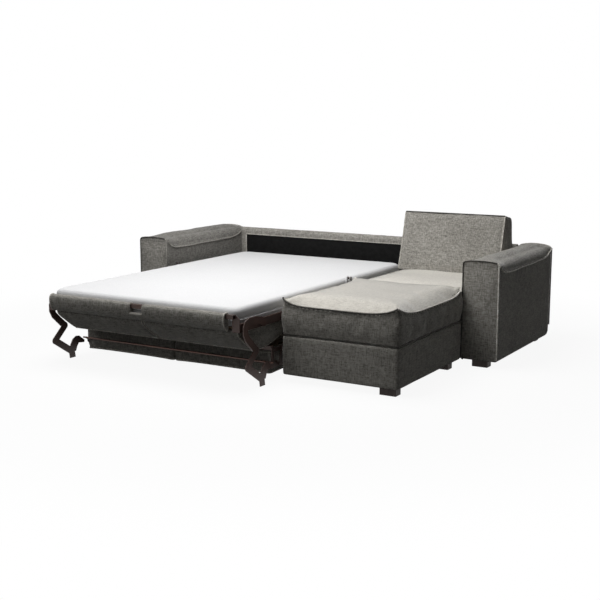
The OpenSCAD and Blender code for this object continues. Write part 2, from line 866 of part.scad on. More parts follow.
// The hook that holds the seat frame's rod, as the same shares
leg_hook_shares = [
    [-0.08, -0.89], [0.01, -0.9], [0.045, -0.82], [0.09, -0.765], [0.16, -0.775], [0.228, -0.782],
    [0.238, -0.742], [0.205, -0.715], [0.165, -0.69], [0.11, -0.645], [0.03, -0.635], [-0.055, -0.68],
    [-0.115, -0.77], [-0.13, -0.86]
];
leg_foot_shares = [[-0.09, -0.86], [-0.07, -1]];
leg_w = 41;
leg_foot_w = 46;

module leg(side) {
    function spot(s) = leg_pin + s * leg_pin.y;
    color(steel_c) on_side(side) plate(leg_u, leg_t) difference() {
        union() {
            bars([for (s = leg_shares) spot(s)], leg_w);
            polygon([for (s = leg_hook_shares) spot(s)]);
            intersection() {
                bar(spot(leg_foot_shares[0]), spot(leg_foot_shares[1]), leg_foot_w);
                translate([spot(leg_foot_shares[0]).x - leg_w, 0]) square([2 * leg_w, leg_pin.y]);
            }
        }
        translate(leg_pin) circle(pin_r + pin_gap);
    }
}

module left_leg() leg(-1);
module right_leg() leg(1);

module leg_pins() {
    color(steel_c) for (side = [-1, 1]) on_side(side)
        pin(rail_out_u, leg_u + leg_t + step / 2, leg_pin, step / 2);
}

// Seat frame and seat cushions, upside down under the open bed

seat_end = y_at(seat_end_y);
seat_back = seat_end + seat_len;
seat_tube_z = seat_low + seat_t + seat_play;
rod_z = 105;
rod_at = [seat_end - rod_r - seat_play, rod_z];
// The seat plate's upper bar passes below the middle rail's lug when the bed is closed
seat_bar_z = foot_pin_z - hinge_eye - (seat_pin_drop - seat_pin_run) - step - tube / 2;

module seat_plate(side) {
    link_pin = seat_pin + [parallel_run, 0];
    color(steel_c) on_side(side) plate(seat_plate_u, plate_t) difference() {
        union() {
            bar([seat_end + tube, seat_pin.y], link_pin, link_w);
            bar([seat_end + tube, seat_pin.y], rod_at, 2 * pin_r);
            for (y = [seat_end + tube, link_pin.x])
                bar([y, seat_pin.y], [y, seat_tube_z + tube / 2], tube);
            bar([seat_end + tube, seat_bar_z], [seat_back - tube, seat_bar_z], tube);
        }
        translate(rod_at) circle(rod_r);
    }
}

module left_seat_plate() seat_plate(-1);
module right_seat_plate() seat_plate(1);

// Cross tubes of the seat frame, with the pins that its links turn on
module seat_tubes() {
    color(steel_c) {
        for (y = [seat_end + tube / 2, seat_back - 3 * tube / 2])
            cross_tube(seat_plate_u, y, seat_tube_z);
        for (side = [-1, 1]) on_side(side) {
            pin(seat_plate_u + plate_t, bracket_u + plate_t + step / 2, seat_pin, step / 2);
            pin(seat_plate_u + plate_t, parallel_u + plate_t + step / 2, seat_pin + [parallel_run, 0],
                step / 2);
        }
    }
}

module seat_slats_set() {
    slat_run = 2 * (rail_u - slat_w) / (seat_slats - 1);
    slat_y0 = seat_end + 3 * tube / 2;
    color(wood_c) for (i = [0:seat_slats - 1])
        translate([bay_mid - rail_u + slat_w / 2 + i * slat_run, slat_y0, seat_tube_z])
            cube([slat_w, seat_back - seat_end - 3 * tube, slat_t]);
}

// The rod across the seat frame's end, which lies in the legs' hooks when the bed is open
module seat_rod() {
    half = leg_u + leg_t + step;
    color(steel_c) translate([bay_mid - half, rod_at.x, rod_at.y]) rotate([0, 90, 0])
        cylinder(h = 2 * half, r = rod_r);
}

seat_crown = 10;

module seat_cushion(side) {
    w = seat_side_u - cushion_gap / 2;
    x = side < 0 ? bay_mid - seat_side_u : bay_mid + cushion_gap / 2;
    color(fabric_c) translate([x, seat_back, seat_tube_z - soft_gap]) rotate([180, 0, 0])
        cushion([w, seat_len, seat_t - seat_crown],
            cushion_r, cushion_edge, seat_crown, seat_draw, seat_dip);
}

module left_seat_cushion() seat_cushion(-1);
module right_seat_cushion() seat_cushion(1);

left_arm_casing();
left_arm_pad();
right_arm_casing();
right_arm_pad();
rear_cover();
back_panel();
back_lining();
back_rail();
back_post();
sofa_feet();
chaise_base();
chaise_seat_cushion();
chaise_back_cushion();
pouf_base();
pouf_cushion();
pouf_feet();
left_batten();
right_batten();
left_side_plate();
right_side_plate();
rear_beam();
plate_bolts();
swing_pins();
left_rear_link();
right_rear_link();
left_front_link();
right_front_link();
left_head_rail();
right_head_rail();
head_tubes();
head_slats();
head_mattress();
head_pins();
left_middle_rail();
right_middle_rail();
middle_tubes();
middle_slats();
middle_mattress();
middle_pins();
left_parallel_link();
right_parallel_link();
left_foot_rail();
right_foot_rail();
foot_tubes();
foot_slats();
foot_mattress();
end_tube();
foot_roll();
left_back_cushion();
right_back_cushion();
leg_pins();
left_seat_plate();
right_seat_plate();
seat_tubes();
seat_slats_set();
seat_rod();
left_seat_cushion();
right_seat_cushion();
left_leg();
right_leg();
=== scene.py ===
"""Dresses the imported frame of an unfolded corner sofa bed: upholstery, mattress, steel and wood."""

import math

import bmesh
import bpy
import numpy as np
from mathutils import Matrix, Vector, noise


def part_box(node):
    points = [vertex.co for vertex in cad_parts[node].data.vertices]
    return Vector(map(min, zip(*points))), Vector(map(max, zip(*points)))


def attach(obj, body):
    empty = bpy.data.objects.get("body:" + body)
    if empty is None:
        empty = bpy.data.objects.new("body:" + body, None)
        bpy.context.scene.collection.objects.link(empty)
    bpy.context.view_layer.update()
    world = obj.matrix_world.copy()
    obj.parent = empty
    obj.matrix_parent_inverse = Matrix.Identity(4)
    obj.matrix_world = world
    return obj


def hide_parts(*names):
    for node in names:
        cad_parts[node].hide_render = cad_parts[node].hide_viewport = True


bl_info = {
    "name": "Corner sofa bed",
    "version": (1, 0, 0),
    "blender": (4, 5, 0),
    "location": "3D View > Sidebar > Sofa bed",
    "description": "Makes the upholstery, mattress and finishes of a corner sofa bed",
    "category": "Object",
}

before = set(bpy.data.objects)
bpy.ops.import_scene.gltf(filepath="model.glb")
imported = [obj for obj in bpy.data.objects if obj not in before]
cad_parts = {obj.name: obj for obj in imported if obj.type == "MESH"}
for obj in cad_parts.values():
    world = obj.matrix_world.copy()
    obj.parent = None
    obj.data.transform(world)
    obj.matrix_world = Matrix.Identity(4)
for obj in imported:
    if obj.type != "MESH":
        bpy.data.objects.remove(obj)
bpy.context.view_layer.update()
BOX = {name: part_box(name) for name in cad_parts}

# The photograph's camera: its lens in millimetres, its place in metres and its turn in degrees
CAMERA_LENS = 65.06
CAMERA_PLACE = (3.3697, -5.6061, 1.4498)
CAMERA_TURN = (90 - 9.879, 0.0, 30.562)

# Each light's name, place, size in metres, power in watts and the point that it looks at
LIGHTS = (
    ("Softbox", (-0.15, -0.55, 2.9), 2.2, 88.0, (0.15, -0.1, 0.3)),
    ("Front fill", (-1.8, -3.9, 3.3), 2.4, 38.0, (-0.2, 0.0, 0.3)),
    ("Rear fill", (-1.5, 4.4, 2.4), 2.4, 26.0, (0.0, 0.9, 0.4)),
)
WORLD_LIGHT = 0.06

# How a cushion is filled: its pressure, the cloth's spare share, the frames and the furthest move in metres
FILL_PRESSURE, FILL_SLACK, FILL_FRAMES, FILL_CAP = 4.0, 0.02, 20, 0.006

# Four steps round a quarter turn, for the edges of cushions
QUARTER = [math.pi / 2 * k / 3 for k in range(4)]

NUMBER, COLOUR, VECTOR = "NodeSocketFloat", "NodeSocketColor", "NodeSocketVector"


# Numbers and small shapes


def smooth(a, b, x):
    """Rises smoothly from 0 at a to 1 at b."""
    t = np.clip((np.asarray(x, float) - a) / (b - a), 0, 1)
    return t * t * (3 - 2 * t)


def through(places, x):
    """A smooth height through (place, height) pairs."""
    xs, zs = np.array(places, float).T
    slope = np.gradient(zs, xs)
    x = np.clip(np.asarray(x, float), xs[0], xs[-1])
    k = np.clip(np.searchsorted(xs, x, side="right") - 1, 0, len(xs) - 2)
    h = xs[k + 1] - xs[k]
    t = (x - xs[k]) / h
    a = 2 * t**3 - 3 * t**2 + 1
    b = t**3 - 2 * t**2 + t
    c = -2 * t**3 + 3 * t**2
    d = t**3 - t**2
    return a * zs[k] + b * h * slope[k] + c * zs[k + 1] + d * h * slope[k + 1]


def closed_curve(points, count):
    """A closed round curve through points, as count evenly spaced places."""
    p = np.array(points, float)
    fine = []
    for i in range(len(p)):
        a, b, c, d = (p[(i + k) % len(p)] for k in (-1, 0, 1, 2))
        for t in np.arange(24) / 24:
            fine.append(0.5 * (2 * b + (c - a) * t + (2 * a - 5 * b + 4 * c - d) * t * t
                               + (3 * b - a - 3 * c + d) * t**3))
    fine = np.array(fine + [fine[0]])
    run = np.concatenate([[0], np.cumsum(np.linalg.norm(np.diff(fine, axis=0), axis=1))])
    at = np.arange(count) / count * run[-1]
    return np.stack([np.interp(at, run, fine[:, k]) for k in range(p.shape[1])], axis=1)


def wavy(p, size, seed):
    """Soft noise from about -1 to 1 at each point, with waves of the given size."""
    return np.array([noise.noise(Vector(q) / size + Vector((seed, 2.7 * seed, 0.4 * seed))) for q in p])


def outwards(mesh, merge=0.0):
    """Turns a mesh's faces outwards, once points closer than a distance are one."""
    work = bmesh.new()
    work.from_mesh(mesh)
    if merge:
        bmesh.ops.remove_doubles(work, verts=work.verts, dist=merge)
    bmesh.ops.recalc_face_normals(work, faces=work.faces)
    work.to_mesh(mesh)
    work.free()


def flat_mesh(name, points, faces, edges=()):
    """An object at the origin from points and faces, with its normals pointing outwards."""
    mesh = bpy.data.meshes.new(name)
    mesh.from_pydata([tuple(map(float, p)) for p in points], list(edges), [tuple(map(int, f)) for f in faces])
    obj = bpy.data.objects.new(name, mesh)
    bpy.context.scene.collection.objects.link(obj)
    if len(faces):
        outwards(mesh, 1e-5)
    return obj


def loft_faces(rings, around, closed_ends=True):
    """Quads between rings of points, with a point before the first and after the last."""
    faces = []
    for k in range(rings - 1):
        for i in range(around):
            j = (i + 1) % around
            faces.append((k * around + i, k * around + j, (k + 1) * around + j, (k + 1) * around + i))
    if closed_ends:
        first, last = rings * around, rings * around + 1
        for i in range(around):
            j = (i + 1) % around
            faces.append((first, j, i))
            faces.append((last, (rings - 1) * around + i, (rings - 1) * around + j))
    return faces


def lofted(name, rings, ends=None):
    """A closed form through rings of as many points each; ends are the two closing points."""
    around = len(rings[0])
    points = np.concatenate([np.array(r, float) for r in rings])
    ends = ends or (np.mean(rings[0], axis=0), np.mean(rings[-1], axis=0))
    return flat_mesh(name, np.concatenate([points, np.array(ends)]), loft_faces(len(rings), around))


def shade(obj, angle=50):
    """Smooth shading, with edges sharper than the angle kept crisp."""
    obj.data.polygons.foreach_set("use_smooth", [True] * len(obj.data.polygons))
    obj.data.set_sharp_from_angle(angle=math.radians(angle))
    return obj


def finer(obj, levels=1):
    """Adds a subdivision surface and makes it the mesh."""
    mod = obj.modifiers.new("Round", "SUBSURF")
    mod.levels = mod.render_levels = levels
    return as_mesh(obj)


def as_mesh(obj):
    """Turns what the modifiers make into the object's own mesh."""
    bpy.context.view_layer.update()
    graph = bpy.context.evaluated_depsgraph_get()
    made = bpy.data.meshes.new_from_object(obj.evaluated_get(graph), preserve_all_data_layers=True,
                                           depsgraph=graph)
    obj.modifiers.clear()
    obj.data = made
    return obj


def rumple(obj, amount, size, seed, keep_flat=None):
    """Moves the surface in and out along its normals by soft noise, as stuffing does."""
    mesh = obj.data
    co = np.zeros(len(mesh.vertices) * 3)
    no = np.zeros(len(mesh.vertices) * 3)
    mesh.vertices.foreach_get("co", co)
    mesh.vertices.foreach_get("normal", no)
    co, no = co.reshape(-1, 3), no.reshape(-1, 3)
    move = amount * wavy(co, size, seed) + 0.4 * amount * wavy(co, size * 0.42, seed + 3)
    if keep_flat is not None:
        move *= keep_flat(co)
    mesh.vertices.foreach_set("co", (co + no * move[:, None]).ravel())
    mesh.update()
    return obj


def settled(obj, seams, lies):
    """Fills a closed cushion as cloth under pressure, held at its sewn seams and where it lies
    on something, and keeps the form it takes."""
    start = np.array([v.co for v in obj.data.vertices])
    sewn = np.concatenate([np.array(s, float) for s in seams])
    near = np.array([np.sqrt(((sewn - p) ** 2).sum(1).min()) for p in start])
    pin = np.maximum(smooth(0.022, 0.003, near), lies(start))
    group = obj.vertex_groups.new(name="Sewn")
    for i, weight in enumerate(pin):
        group.add([i], float(weight), "REPLACE")
    mod = obj.modifiers.new("Filling", "CLOTH")
    cloth = mod.settings
    cloth.quality, cloth.mass, cloth.vertex_group_mass = 6, 0.25, "Sewn"
    cloth.tension_stiffness = cloth.compression_stiffness = 20.0
    cloth.shear_stiffness, cloth.bending_stiffness = 8.0, 0.8
    cloth.use_pressure, cloth.uniform_pressure_force = True, FILL_PRESSURE
    cloth.shrink_min = -FILL_SLACK
    cloth.effector_weights.gravity = 0.0
    mod.collision_settings.use_collision = False
    for step in range(1, FILL_FRAMES + 1):
        bpy.context.scene.frame_set(step)
    graph = bpy.context.evaluated_depsgraph_get()
    filled = np.array([v.co for v in obj.evaluated_get(graph).data.vertices])
    obj.modifiers.clear()
    obj.vertex_groups.clear()
    bpy.context.scene.frame_set(1)
    move = (filled - start) * (1 - pin)[:, None]
    far = np.maximum(np.linalg.norm(move, axis=1), 1e-9)
    obj.data.vertices.foreach_set("co", (start + move * (np.minimum(far, FILL_CAP) / far)[:, None]).ravel())
    obj.data.update()
    return obj


def stuffed(obj, seams, rests, amount, size, seed, calm):
    """Fills and rumples a cushion; rests and calm are pairs of heights between which it is held
    more and more firmly, and rumpled more and more."""
    finer(settled(obj, seams, lambda co: smooth(*rests, co[:, 2])))
    return rumple(obj, amount, size, seed, lambda co: smooth(*calm, co[:, 2]))


def joined(name, *objs):
    """One object from several, which keep their materials."""
    with bpy.context.temp_override(active_object=objs[0], selected_editable_objects=list(objs)):
        bpy.ops.object.join()
    objs[0].name = name
    return objs[0]


# Materials


def add(tree, kind, inputs=None, **settings):
    """A node with its settings and the values or links of its inputs."""
    made = tree.nodes.new(kind)
    for key, value in settings.items():
        setattr(made, key, value)
    for key, value in (inputs or {}).items():
        if isinstance(value, bpy.types.NodeSocket):
            tree.links.new(value, made.inputs[key])
        else:
            made.inputs[key].default_value = value
    return made


def shader_group(name, sockets_in):
    """An empty shader group that gives a colour, a height and a roughness."""
    tree = bpy.data.node_groups.new(name, "ShaderNodeTree")
    for key, kind in sockets_in.items():
        tree.interface.new_socket(key, in_out="INPUT", socket_type=kind)
    for key, kind in (("Colour", COLOUR), ("Height", NUMBER), ("Roughness", NUMBER)):
        tree.interface.new_socket(key, in_out="OUTPUT", socket_type=kind)
    return tree, tree.nodes.new("NodeGroupInput").outputs, tree.nodes.new("ShaderNodeTexCoord").outputs


def finished(tree, **values):
    """The group, with its outputs linked."""
    go = tree.nodes.new("NodeGroupOutput")
    for key, value in values.items():
        tree.links.new(value, go.inputs[key])
    return tree


def math_node(tree, how, a, b=0.0):
    return add(tree, "ShaderNodeMath", {0: a, 1: b}, operation=how).outputs[0]


def weighted(tree, a, share_a, b, share_b):
    """Two values added, each multiplied by its share."""
    parts = (math_node(tree, "MULTIPLY", value, share) for value, share in ((a, share_a), (b, share_b)))
    return math_node(tree, "ADD", *parts)


def stretched(tree, place, by):
    return add(tree, "ShaderNodeVectorMath", {0: place, 1: by}, operation="MULTIPLY").outputs[0]


def noise_node(tree, place, scale, detail, **more):
    inputs = {"Vector": place, "Scale": scale, "Detail": detail, **more}
    return add(tree, "ShaderNodeTexNoise", inputs).outputs["Fac"]


def remap(tree, value, low=0.0, high=1.0, to_low=0.0, to_high=1.0, **settings):
    """A value carried from one range over to another."""
    inputs = {"Value": value, "From Min": low, "From Max": high, "To Min": to_low, "To Max": to_high}
    return add(tree, "ShaderNodeMapRange", inputs, **settings).outputs[0]


def mixed(tree, share, a, b):
    """A colour between two others."""
    return add(tree, "ShaderNodeMix", {0: share, 6: a, 7: b}, data_type="RGBA").outputs[2]


def woven_group():
    """Threads with slubs that run along the cloth's two directions, on any face of a piece."""
    tree, come, coords = shader_group("Woven slubs", {
        "Light": COLOUR, "Middle": COLOUR, "Dark": COLOUR,
        "Across": NUMBER, "Along": NUMBER, "Folds": NUMBER})
    split = add(tree, "ShaderNodeSeparateXYZ", {0: coords["Normal"]})
    sums = None
    for axis in range(3):
        weight = remap(tree, math_node(tree, "ABSOLUTE", split.outputs[axis]), 0.5, 0.74, 1.0, 0.02)
        stretch = tree.nodes.new("ShaderNodeCombineXYZ")
        for k in range(3):
            tree.links.new(come["Along" if k == axis else "Across"], stretch.inputs[k])
        place = stretched(tree, coords["Object"], stretch.outputs[0])
        threads, fine = noise_node(tree, place, 1.0, 3.0, Roughness=0.65), noise_node(tree, place, 4.5, 1.0)
        parts = [math_node(tree, "MULTIPLY", part, weight) for part in (threads, fine)] + [weight]
        sums = [math_node(tree, "ADD", a, b) for a, b in zip(sums, parts)] if sums else parts
    slub, fine = (math_node(tree, "DIVIDE", part, sums[2]) for part in sums[:2])
    both = weighted(tree, slub, 0.72, fine, 0.28)
    worn = remap(tree, noise_node(tree, coords["Object"], 3.2, 2.0), 0.3, 0.7, -0.07, 0.07)
    level = math_node(tree, "ADD", remap(tree, both, 0.4, 0.6), worn)
    shade_side = mixed(tree, remap(tree, level, 0.0, 0.5), come["Dark"], come["Middle"])
    folds = math_node(tree, "MULTIPLY", noise_node(tree, coords["Object"], 9.0, 2.0), come["Folds"])
    return finished(tree, Colour=mixed(tree, remap(tree, level, 0.5, 1.0), shade_side, come["Light"]),
                    Height=math_node(tree, "ADD", both, folds),
                    Roughness=remap(tree, level, to_low=0.95, to_high=0.78))


def grain_group():
    """Wood grain drawn out along one direction."""
    tree, come, coords = shader_group("Wood grain", {"Light": COLOUR, "Dark": COLOUR, "Stretch": VECTOR})
    place = stretched(tree, coords["Object"], come["Stretch"])
    rings = noise_node(tree, place, 1.0, 4.0, Roughness=0.6, Distortion=0.6)
    both = weighted(tree, rings, 0.75, noise_node(tree, place, 5.0, 2.0), 0.25)
    level = remap(tree, both, 0.36, 0.64)
    return finished(tree, Colour=mixed(tree, level, come["Dark"], come["Light"]), Height=both,
                    Roughness=remap(tree, level, to_low=0.7, to_high=0.5))


def wear_group():
    """Paint or felt with uneven patches and fine specks."""
    tree, come, coords = shader_group("Patches and specks", {
        "Base": COLOUR, "Worn": COLOUR, "Patch scale": NUMBER, "Speck scale": NUMBER})
    patch = noise_node(tree, coords["Object"], come["Patch scale"], 3.0)
    speck = noise_node(tree, coords["Object"], come["Speck scale"], 2.0)
    both = weighted(tree, patch, 0.6, speck, 0.4)
    return finished(tree, Colour=mixed(tree, remap(tree, both, 0.38, 0.68), come["Base"], come["Worn"]),
                    Height=speck, Roughness=remap(tree, both, 0.3, 0.7, 0.42, 0.62))


GROUP_MAKERS = {"Woven slubs": woven_group, "Wood grain": grain_group, "Patches and specks": wear_group}


def finish_from(name, group, values, bump, depth, rough=True, **sockets):
    """A material whose colour, roughness and bump come from one of the shared groups."""
    if name in bpy.data.materials:
        return bpy.data.materials[name]
    made = bpy.data.materials.new(name)
    made.use_nodes = True
    tree = made.node_tree
    shader = tree.nodes["Principled BSDF"]
    pattern = tree.nodes.new("ShaderNodeGroup")
    pattern.node_tree = bpy.data.node_groups.get(group) or GROUP_MAKERS[group]()
    for key, value in values.items():
        pattern.inputs[key].default_value = value
    raised = add(tree, "ShaderNodeBump",
                 {"Height": pattern.outputs["Height"], "Strength": bump, "Distance": depth})
    tree.links.new(pattern.outputs["Colour"], shader.inputs["Base Color"])
    tree.links.new(raised.outputs[0], shader.inputs["Normal"])
    if rough:
        tree.links.new(pattern.outputs["Roughness"], shader.inputs["Roughness"])
    for key, value in sockets.items():
        shader.inputs[key.replace("_", " ")].default_value = value
    made.diffuse_color = tuple(values.get("Middle") or values.get("Dark") or values.get("Base"))
    return made


def tinted(colour, share):
    """A colour made lighter or darker by a share."""
    return tuple(min(1.0, c * share) for c in colour[:3]) + (1.0,)


def melange(name, share=1.0, folds=0.5, sheen=0.5, even=0.0, bump=0.45):
    """The woven upholstery cloth, lighter or darker by a share, its threads evened out by another."""
    c = bpy.context.scene.sofa_colours
    middle = Vector(c.thread_middle)
    tones = {"Light": Vector(c.thread_light).lerp(middle, even), "Middle": middle,
             "Dark": Vector(c.thread_dark).lerp(middle, even)}
    values = {key: tinted(tone, share) for key, tone in tones.items()}
    return finish_from(name, "Woven slubs", {**values, "Across": 190.0, "Along": 34.0, "Folds": folds},
                       bump, 0.003, Sheen_Weight=sheen, Sheen_Roughness=0.35, Specular_IOR_Level=0.2)


def upholstery():
    return melange("Melange upholstery")


def seat_top_cloth_painted_light(name="Melange paled by painted light on the seats", share=2.2):
    """The same cloth on the seats' tops, made paler there as painted light."""
    return melange(name, share, 0.1, 1.0, 0.65, 0.12)


# The piping's own cloth made paler than the upholstery: a painted highlight along the cords.
def cord_cloth_painted_highlight():
    return melange("Piping cloth with a painted highlight", 1.75, 0.0)


def cord_strong_painted_highlight():
    """The piping made much paler where it stands out against cloth in the shade: a strong painted highlight.
    """
    return melange("Piping with a strong painted highlight", 2.6, 0.0, 1.0)


def cord_painted_shade():
    """The piping darkened where it is turned away from the light, pressed into its seam: painted shade."""
    return melange("Piping darkened by painted shade", 0.3, 0.0, 0.1)


def two_cloths(obj, most, other, picked):
    """Gives the picked faces the other cloth."""
    obj.data.materials.clear()
    obj.data.materials.append(most)
    obj.data.materials.append(other)
    for face, is_other in zip(obj.data.polygons, picked):
        face.material_index = int(is_other)


def inside_seam(obj, seam):
    """True for the faces of a cushion's top, which its upper seam encloses."""
    centres = np.array([p.center for p in obj.data.polygons])
    near = seam[np.linalg.norm(centres[:, None, :2] - seam[None, :, :2], axis=2).argmin(1)]
    inward = (seam.mean(0) - near)[:, :2]
    return (((centres - near)[:, :2] * inward).sum(1) > 0) & (centres[:, 2] > near[:, 2] - 0.006)


def mattress_cloth(border=False):
    c = bpy.context.scene.sofa_colours
    tint = c.mattress_border if border else c.mattress_top
    return finish_from("Mattress border" if border else "Mattress cover", "Woven slubs", {
        "Light": tinted(tint, 1.05), "Middle": tinted(tint, 1.0), "Dark": tinted(tint, 0.93),
        "Across": 320.0, "Along": 90.0, "Folds": 0.3}, 0.25, 0.002, Specular_IOR_Level=0.2)


def paint(name, base, wear, bump, depth, patch=14.0, speck=420.0, **settings):
    """Paint or felt, with patches and specks paler than its base by a share."""
    values = {"Base": base, "Worn": tinted(base, wear), "Patch scale": patch, "Speck scale": speck}
    return finish_from(name, "Patches and specks", values, bump, depth, **settings)


def steel(name="Brown painted steel", share=1.0):
    return paint(name, tinted(bpy.context.scene.sofa_colours.steel, share), 1.7, 0.15, 0.0006, Metallic=0.35,
                 Specular_IOR_Level=0.5, Coat_Weight=0.15, Coat_Roughness=0.3)


def felt():
    return paint("Black felt", tinted(bpy.context.scene.sofa_colours.felt, 1.0), 1.8, 0.5, 0.002, 40.0, 900.0,
                 rough=False, Roughness=0.97, Specular_IOR_Level=0.1)


def wood(name, light, dark, stretch):
    return finish_from(name, "Wood grain", {
        "Light": tinted(light, 1.0), "Dark": tinted(dark, 1.0), "Stretch": stretch}, 0.2, 0.001,
        Specular_IOR_Level=0.35)


def block_wood():
    c = bpy.context.scene.sofa_colours
    return wood("Dark block feet", tinted(c.block, 1.8), c.block, (90.0, 90.0, 12.0))


def give(material, *nodes):
    """Gives CAD nodes a finish."""
    for name in nodes:
        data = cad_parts[name].data
        data.materials.clear()
        data.materials.append(material)


# Piping


def piping_tree():
    """Geometry nodes that sweep a round cord along the edges of a path."""
    found = bpy.data.node_groups.get("Piping along a seam")
    if found:
        return found
    tree = bpy.data.node_groups.new("Piping along a seam", "GeometryNodeTree")
    tree.interface.new_socket("Path", in_out="INPUT", socket_type="NodeSocketGeometry")
    for key, kind in (("Radius", NUMBER), ("Spacing", NUMBER), ("Sides", "NodeSocketInt"),
                      ("Cloth", "NodeSocketMaterial")):
        tree.interface.new_socket(key, in_out="INPUT", socket_type=kind)
    tree.interface.new_socket("Cord", in_out="OUTPUT", socket_type="NodeSocketGeometry")
    come, go = tree.nodes.new("NodeGroupInput"), tree.nodes.new("NodeGroupOutput")
    path = add(tree, "GeometryNodeMeshToCurve", {"Mesh": come.outputs["Path"]})
    even = add(tree, "GeometryNodeResampleCurve",
               {"Curve": path.outputs[0], "Length": come.outputs["Spacing"]}, mode="LENGTH")
    ring = add(tree, "GeometryNodeCurvePrimitiveCircle",
               {"Resolution": come.outputs["Sides"], "Radius": come.outputs["Radius"]})
    swept = add(tree, "GeometryNodeCurveToMesh",
                {"Curve": even.outputs[0], "Profile Curve": ring.outputs[0], "Fill Caps": True})
    rounded = add(tree, "GeometryNodeSetShadeSmooth", {"Geometry": swept.outputs[0]})
    real = add(tree, "GeometryNodeRealizeInstances", {"Geometry": rounded.outputs[0]})
    clothed = add(tree, "GeometryNodeSetMaterial",
                  {"Geometry": real.outputs[0], "Material": come.outputs["Cloth"]})
    tree.links.new(clothed.outputs[0], go.inputs["Cord"])
    return tree


def piping(name, paths, cloth=None, radius=None, closed=False):
    """Cords along paths of points, as one plain mesh."""
    points, edges = [], []
    for path in paths:
        start = len(points)
        points.extend(path)
        edges += [(start + i, start + i + 1) for i in range(len(path) - 1)]
        if closed:
            edges.append((start + len(path) - 1, start))
    obj = flat_mesh(name, points, [], edges)
    mod = obj.modifiers.new("Piping", "NODES")
    tree = mod.node_group = piping_tree()
    values = {"Radius": radius or bpy.context.scene.sofa_sizes.piping_radius, "Spacing": 0.008, "Sides": 10,
              "Cloth": cloth or cord_cloth_painted_highlight()}
    for item in tree.interface.items_tree:
        if item.in_out == "INPUT" and item.name in values:
            mod[item.identifier] = values[item.name]
    outwards(as_mesh(obj).data)
    obj.data.polygons.foreach_set("use_smooth", [True] * len(obj.data.polygons))
    return obj


def placed(obj, body, *nodes, slot="upholstery", material=None, fill=None, angle=50):
    """Shades a piece, gives it its cloth, and fixes it to its body in place of its CAD nodes."""
    if material is not None:
        obj.data.materials.clear()
        obj.data.materials.append(material)
    if angle:
        shade(obj, angle)
    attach(obj, body)
    if nodes:
        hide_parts(*nodes)
    return obj


# Cushion forms


def unit_square(n):
    """Points round a unit square, close together near its corners, and each one's place on its side."""
    s = np.sin(np.pi * (np.arange(n) / n - 0.5))
    one = np.ones(n)
    x = np.concatenate([s, one, -s, -one])
    y = np.concatenate([-one, s, one, -s])
    return np.stack([x, y], 1), np.concatenate([s, s, s, s]), np.repeat(np.arange(4), n)


def ring_of(unit, w, d, r):
    """A rectangle's outline with its corners rounded to r."""
    q = unit * [w / 2, d / 2]
    c = np.clip(q, [-w / 2 + r, -d / 2 + r], [w / 2 - r, d / 2 - r])
    v = q - c
    length = np.maximum(np.linalg.norm(v, axis=1), 1e-9)[:, None]
    return c + v * r / length


def box_outline(lo, hi, radius, n):
    """A function for the level outline of a box with rounded upright edges, which draws it in by an
    inset and scales it by a share."""
    unit = unit_square(n)[0]
    w, d = hi[0] - lo[0], hi[1] - lo[1]
    mid = np.array([(lo[0] + hi[0]) / 2, (lo[1] + hi[1]) / 2])

    def ring(inset, z, share=1.0):
        q = ring_of(unit, w - 2 * inset, d - 2 * inset, radius) * share + mid
        return np.column_stack([q, np.full(len(q), z)])

    return ring


def boxed_cushion(name, lo, hi, seam_z, crown, corner=0.03, draw=0.004, bulge=0.005, power=4.0, n=26):
    """A boxed cushion with a flat underside, sides that swell between two piped seams, and a
    crowned top. seam_z(side place, side number) is the upper seam's height."""
    unit, place, side = unit_square(n)
    w, d = hi[0] - lo[0], hi[1] - lo[1]
    mid = np.array([(lo[0] + hi[0]) / 2, (lo[1] + hi[1]) / 2])
    pull = draw * (1 - place**2)
    edge, z0 = 0.01, lo[2]

    def ring(inset, share=1.0):
        q = ring_of(unit, w - 2 * inset, d - 2 * inset, corner)
        on_side = np.abs(q) > np.array([w / 2, d / 2]) - inset - 1e-6
        return (q - np.sign(q) * on_side * pull[:, None]) * share + mid

    top = seam_z(place, side)
    floor = np.full(len(unit), z0)
    rings = [np.column_stack([ring(edge, share), floor]) for share in (0.3, 0.6, 0.82, 0.93)]
    for a in QUARTER:
        rings.append(np.column_stack([ring(edge * (1 - math.sin(a))), floor + edge * (1 - math.cos(a))]))
    low_seam = rings[-1]
    for t in np.arange(1, 10) / 10:
        z = z0 + edge + (top - z0 - edge) * t
        rings.append(np.column_stack([ring(-bulge * math.sin(math.pi * t)), z]))
    seam = np.column_stack([ring(0.0), top])
    rings.append(seam)
    for share in (0.985, 0.96, 0.93, 0.89, 0.83, 0.75, 0.65, 0.53, 0.4, 0.26, 0.12):
        base = hi[2] - crown + (top - hi[2] + crown) * share ** (power * 2.2)
        rings.append(np.column_stack([ring(0.0, share), base + crown * (1 - share**power)]))
    return lofted(name, rings, ([*mid, z0], [*mid, hi[2]])), seam, low_seam


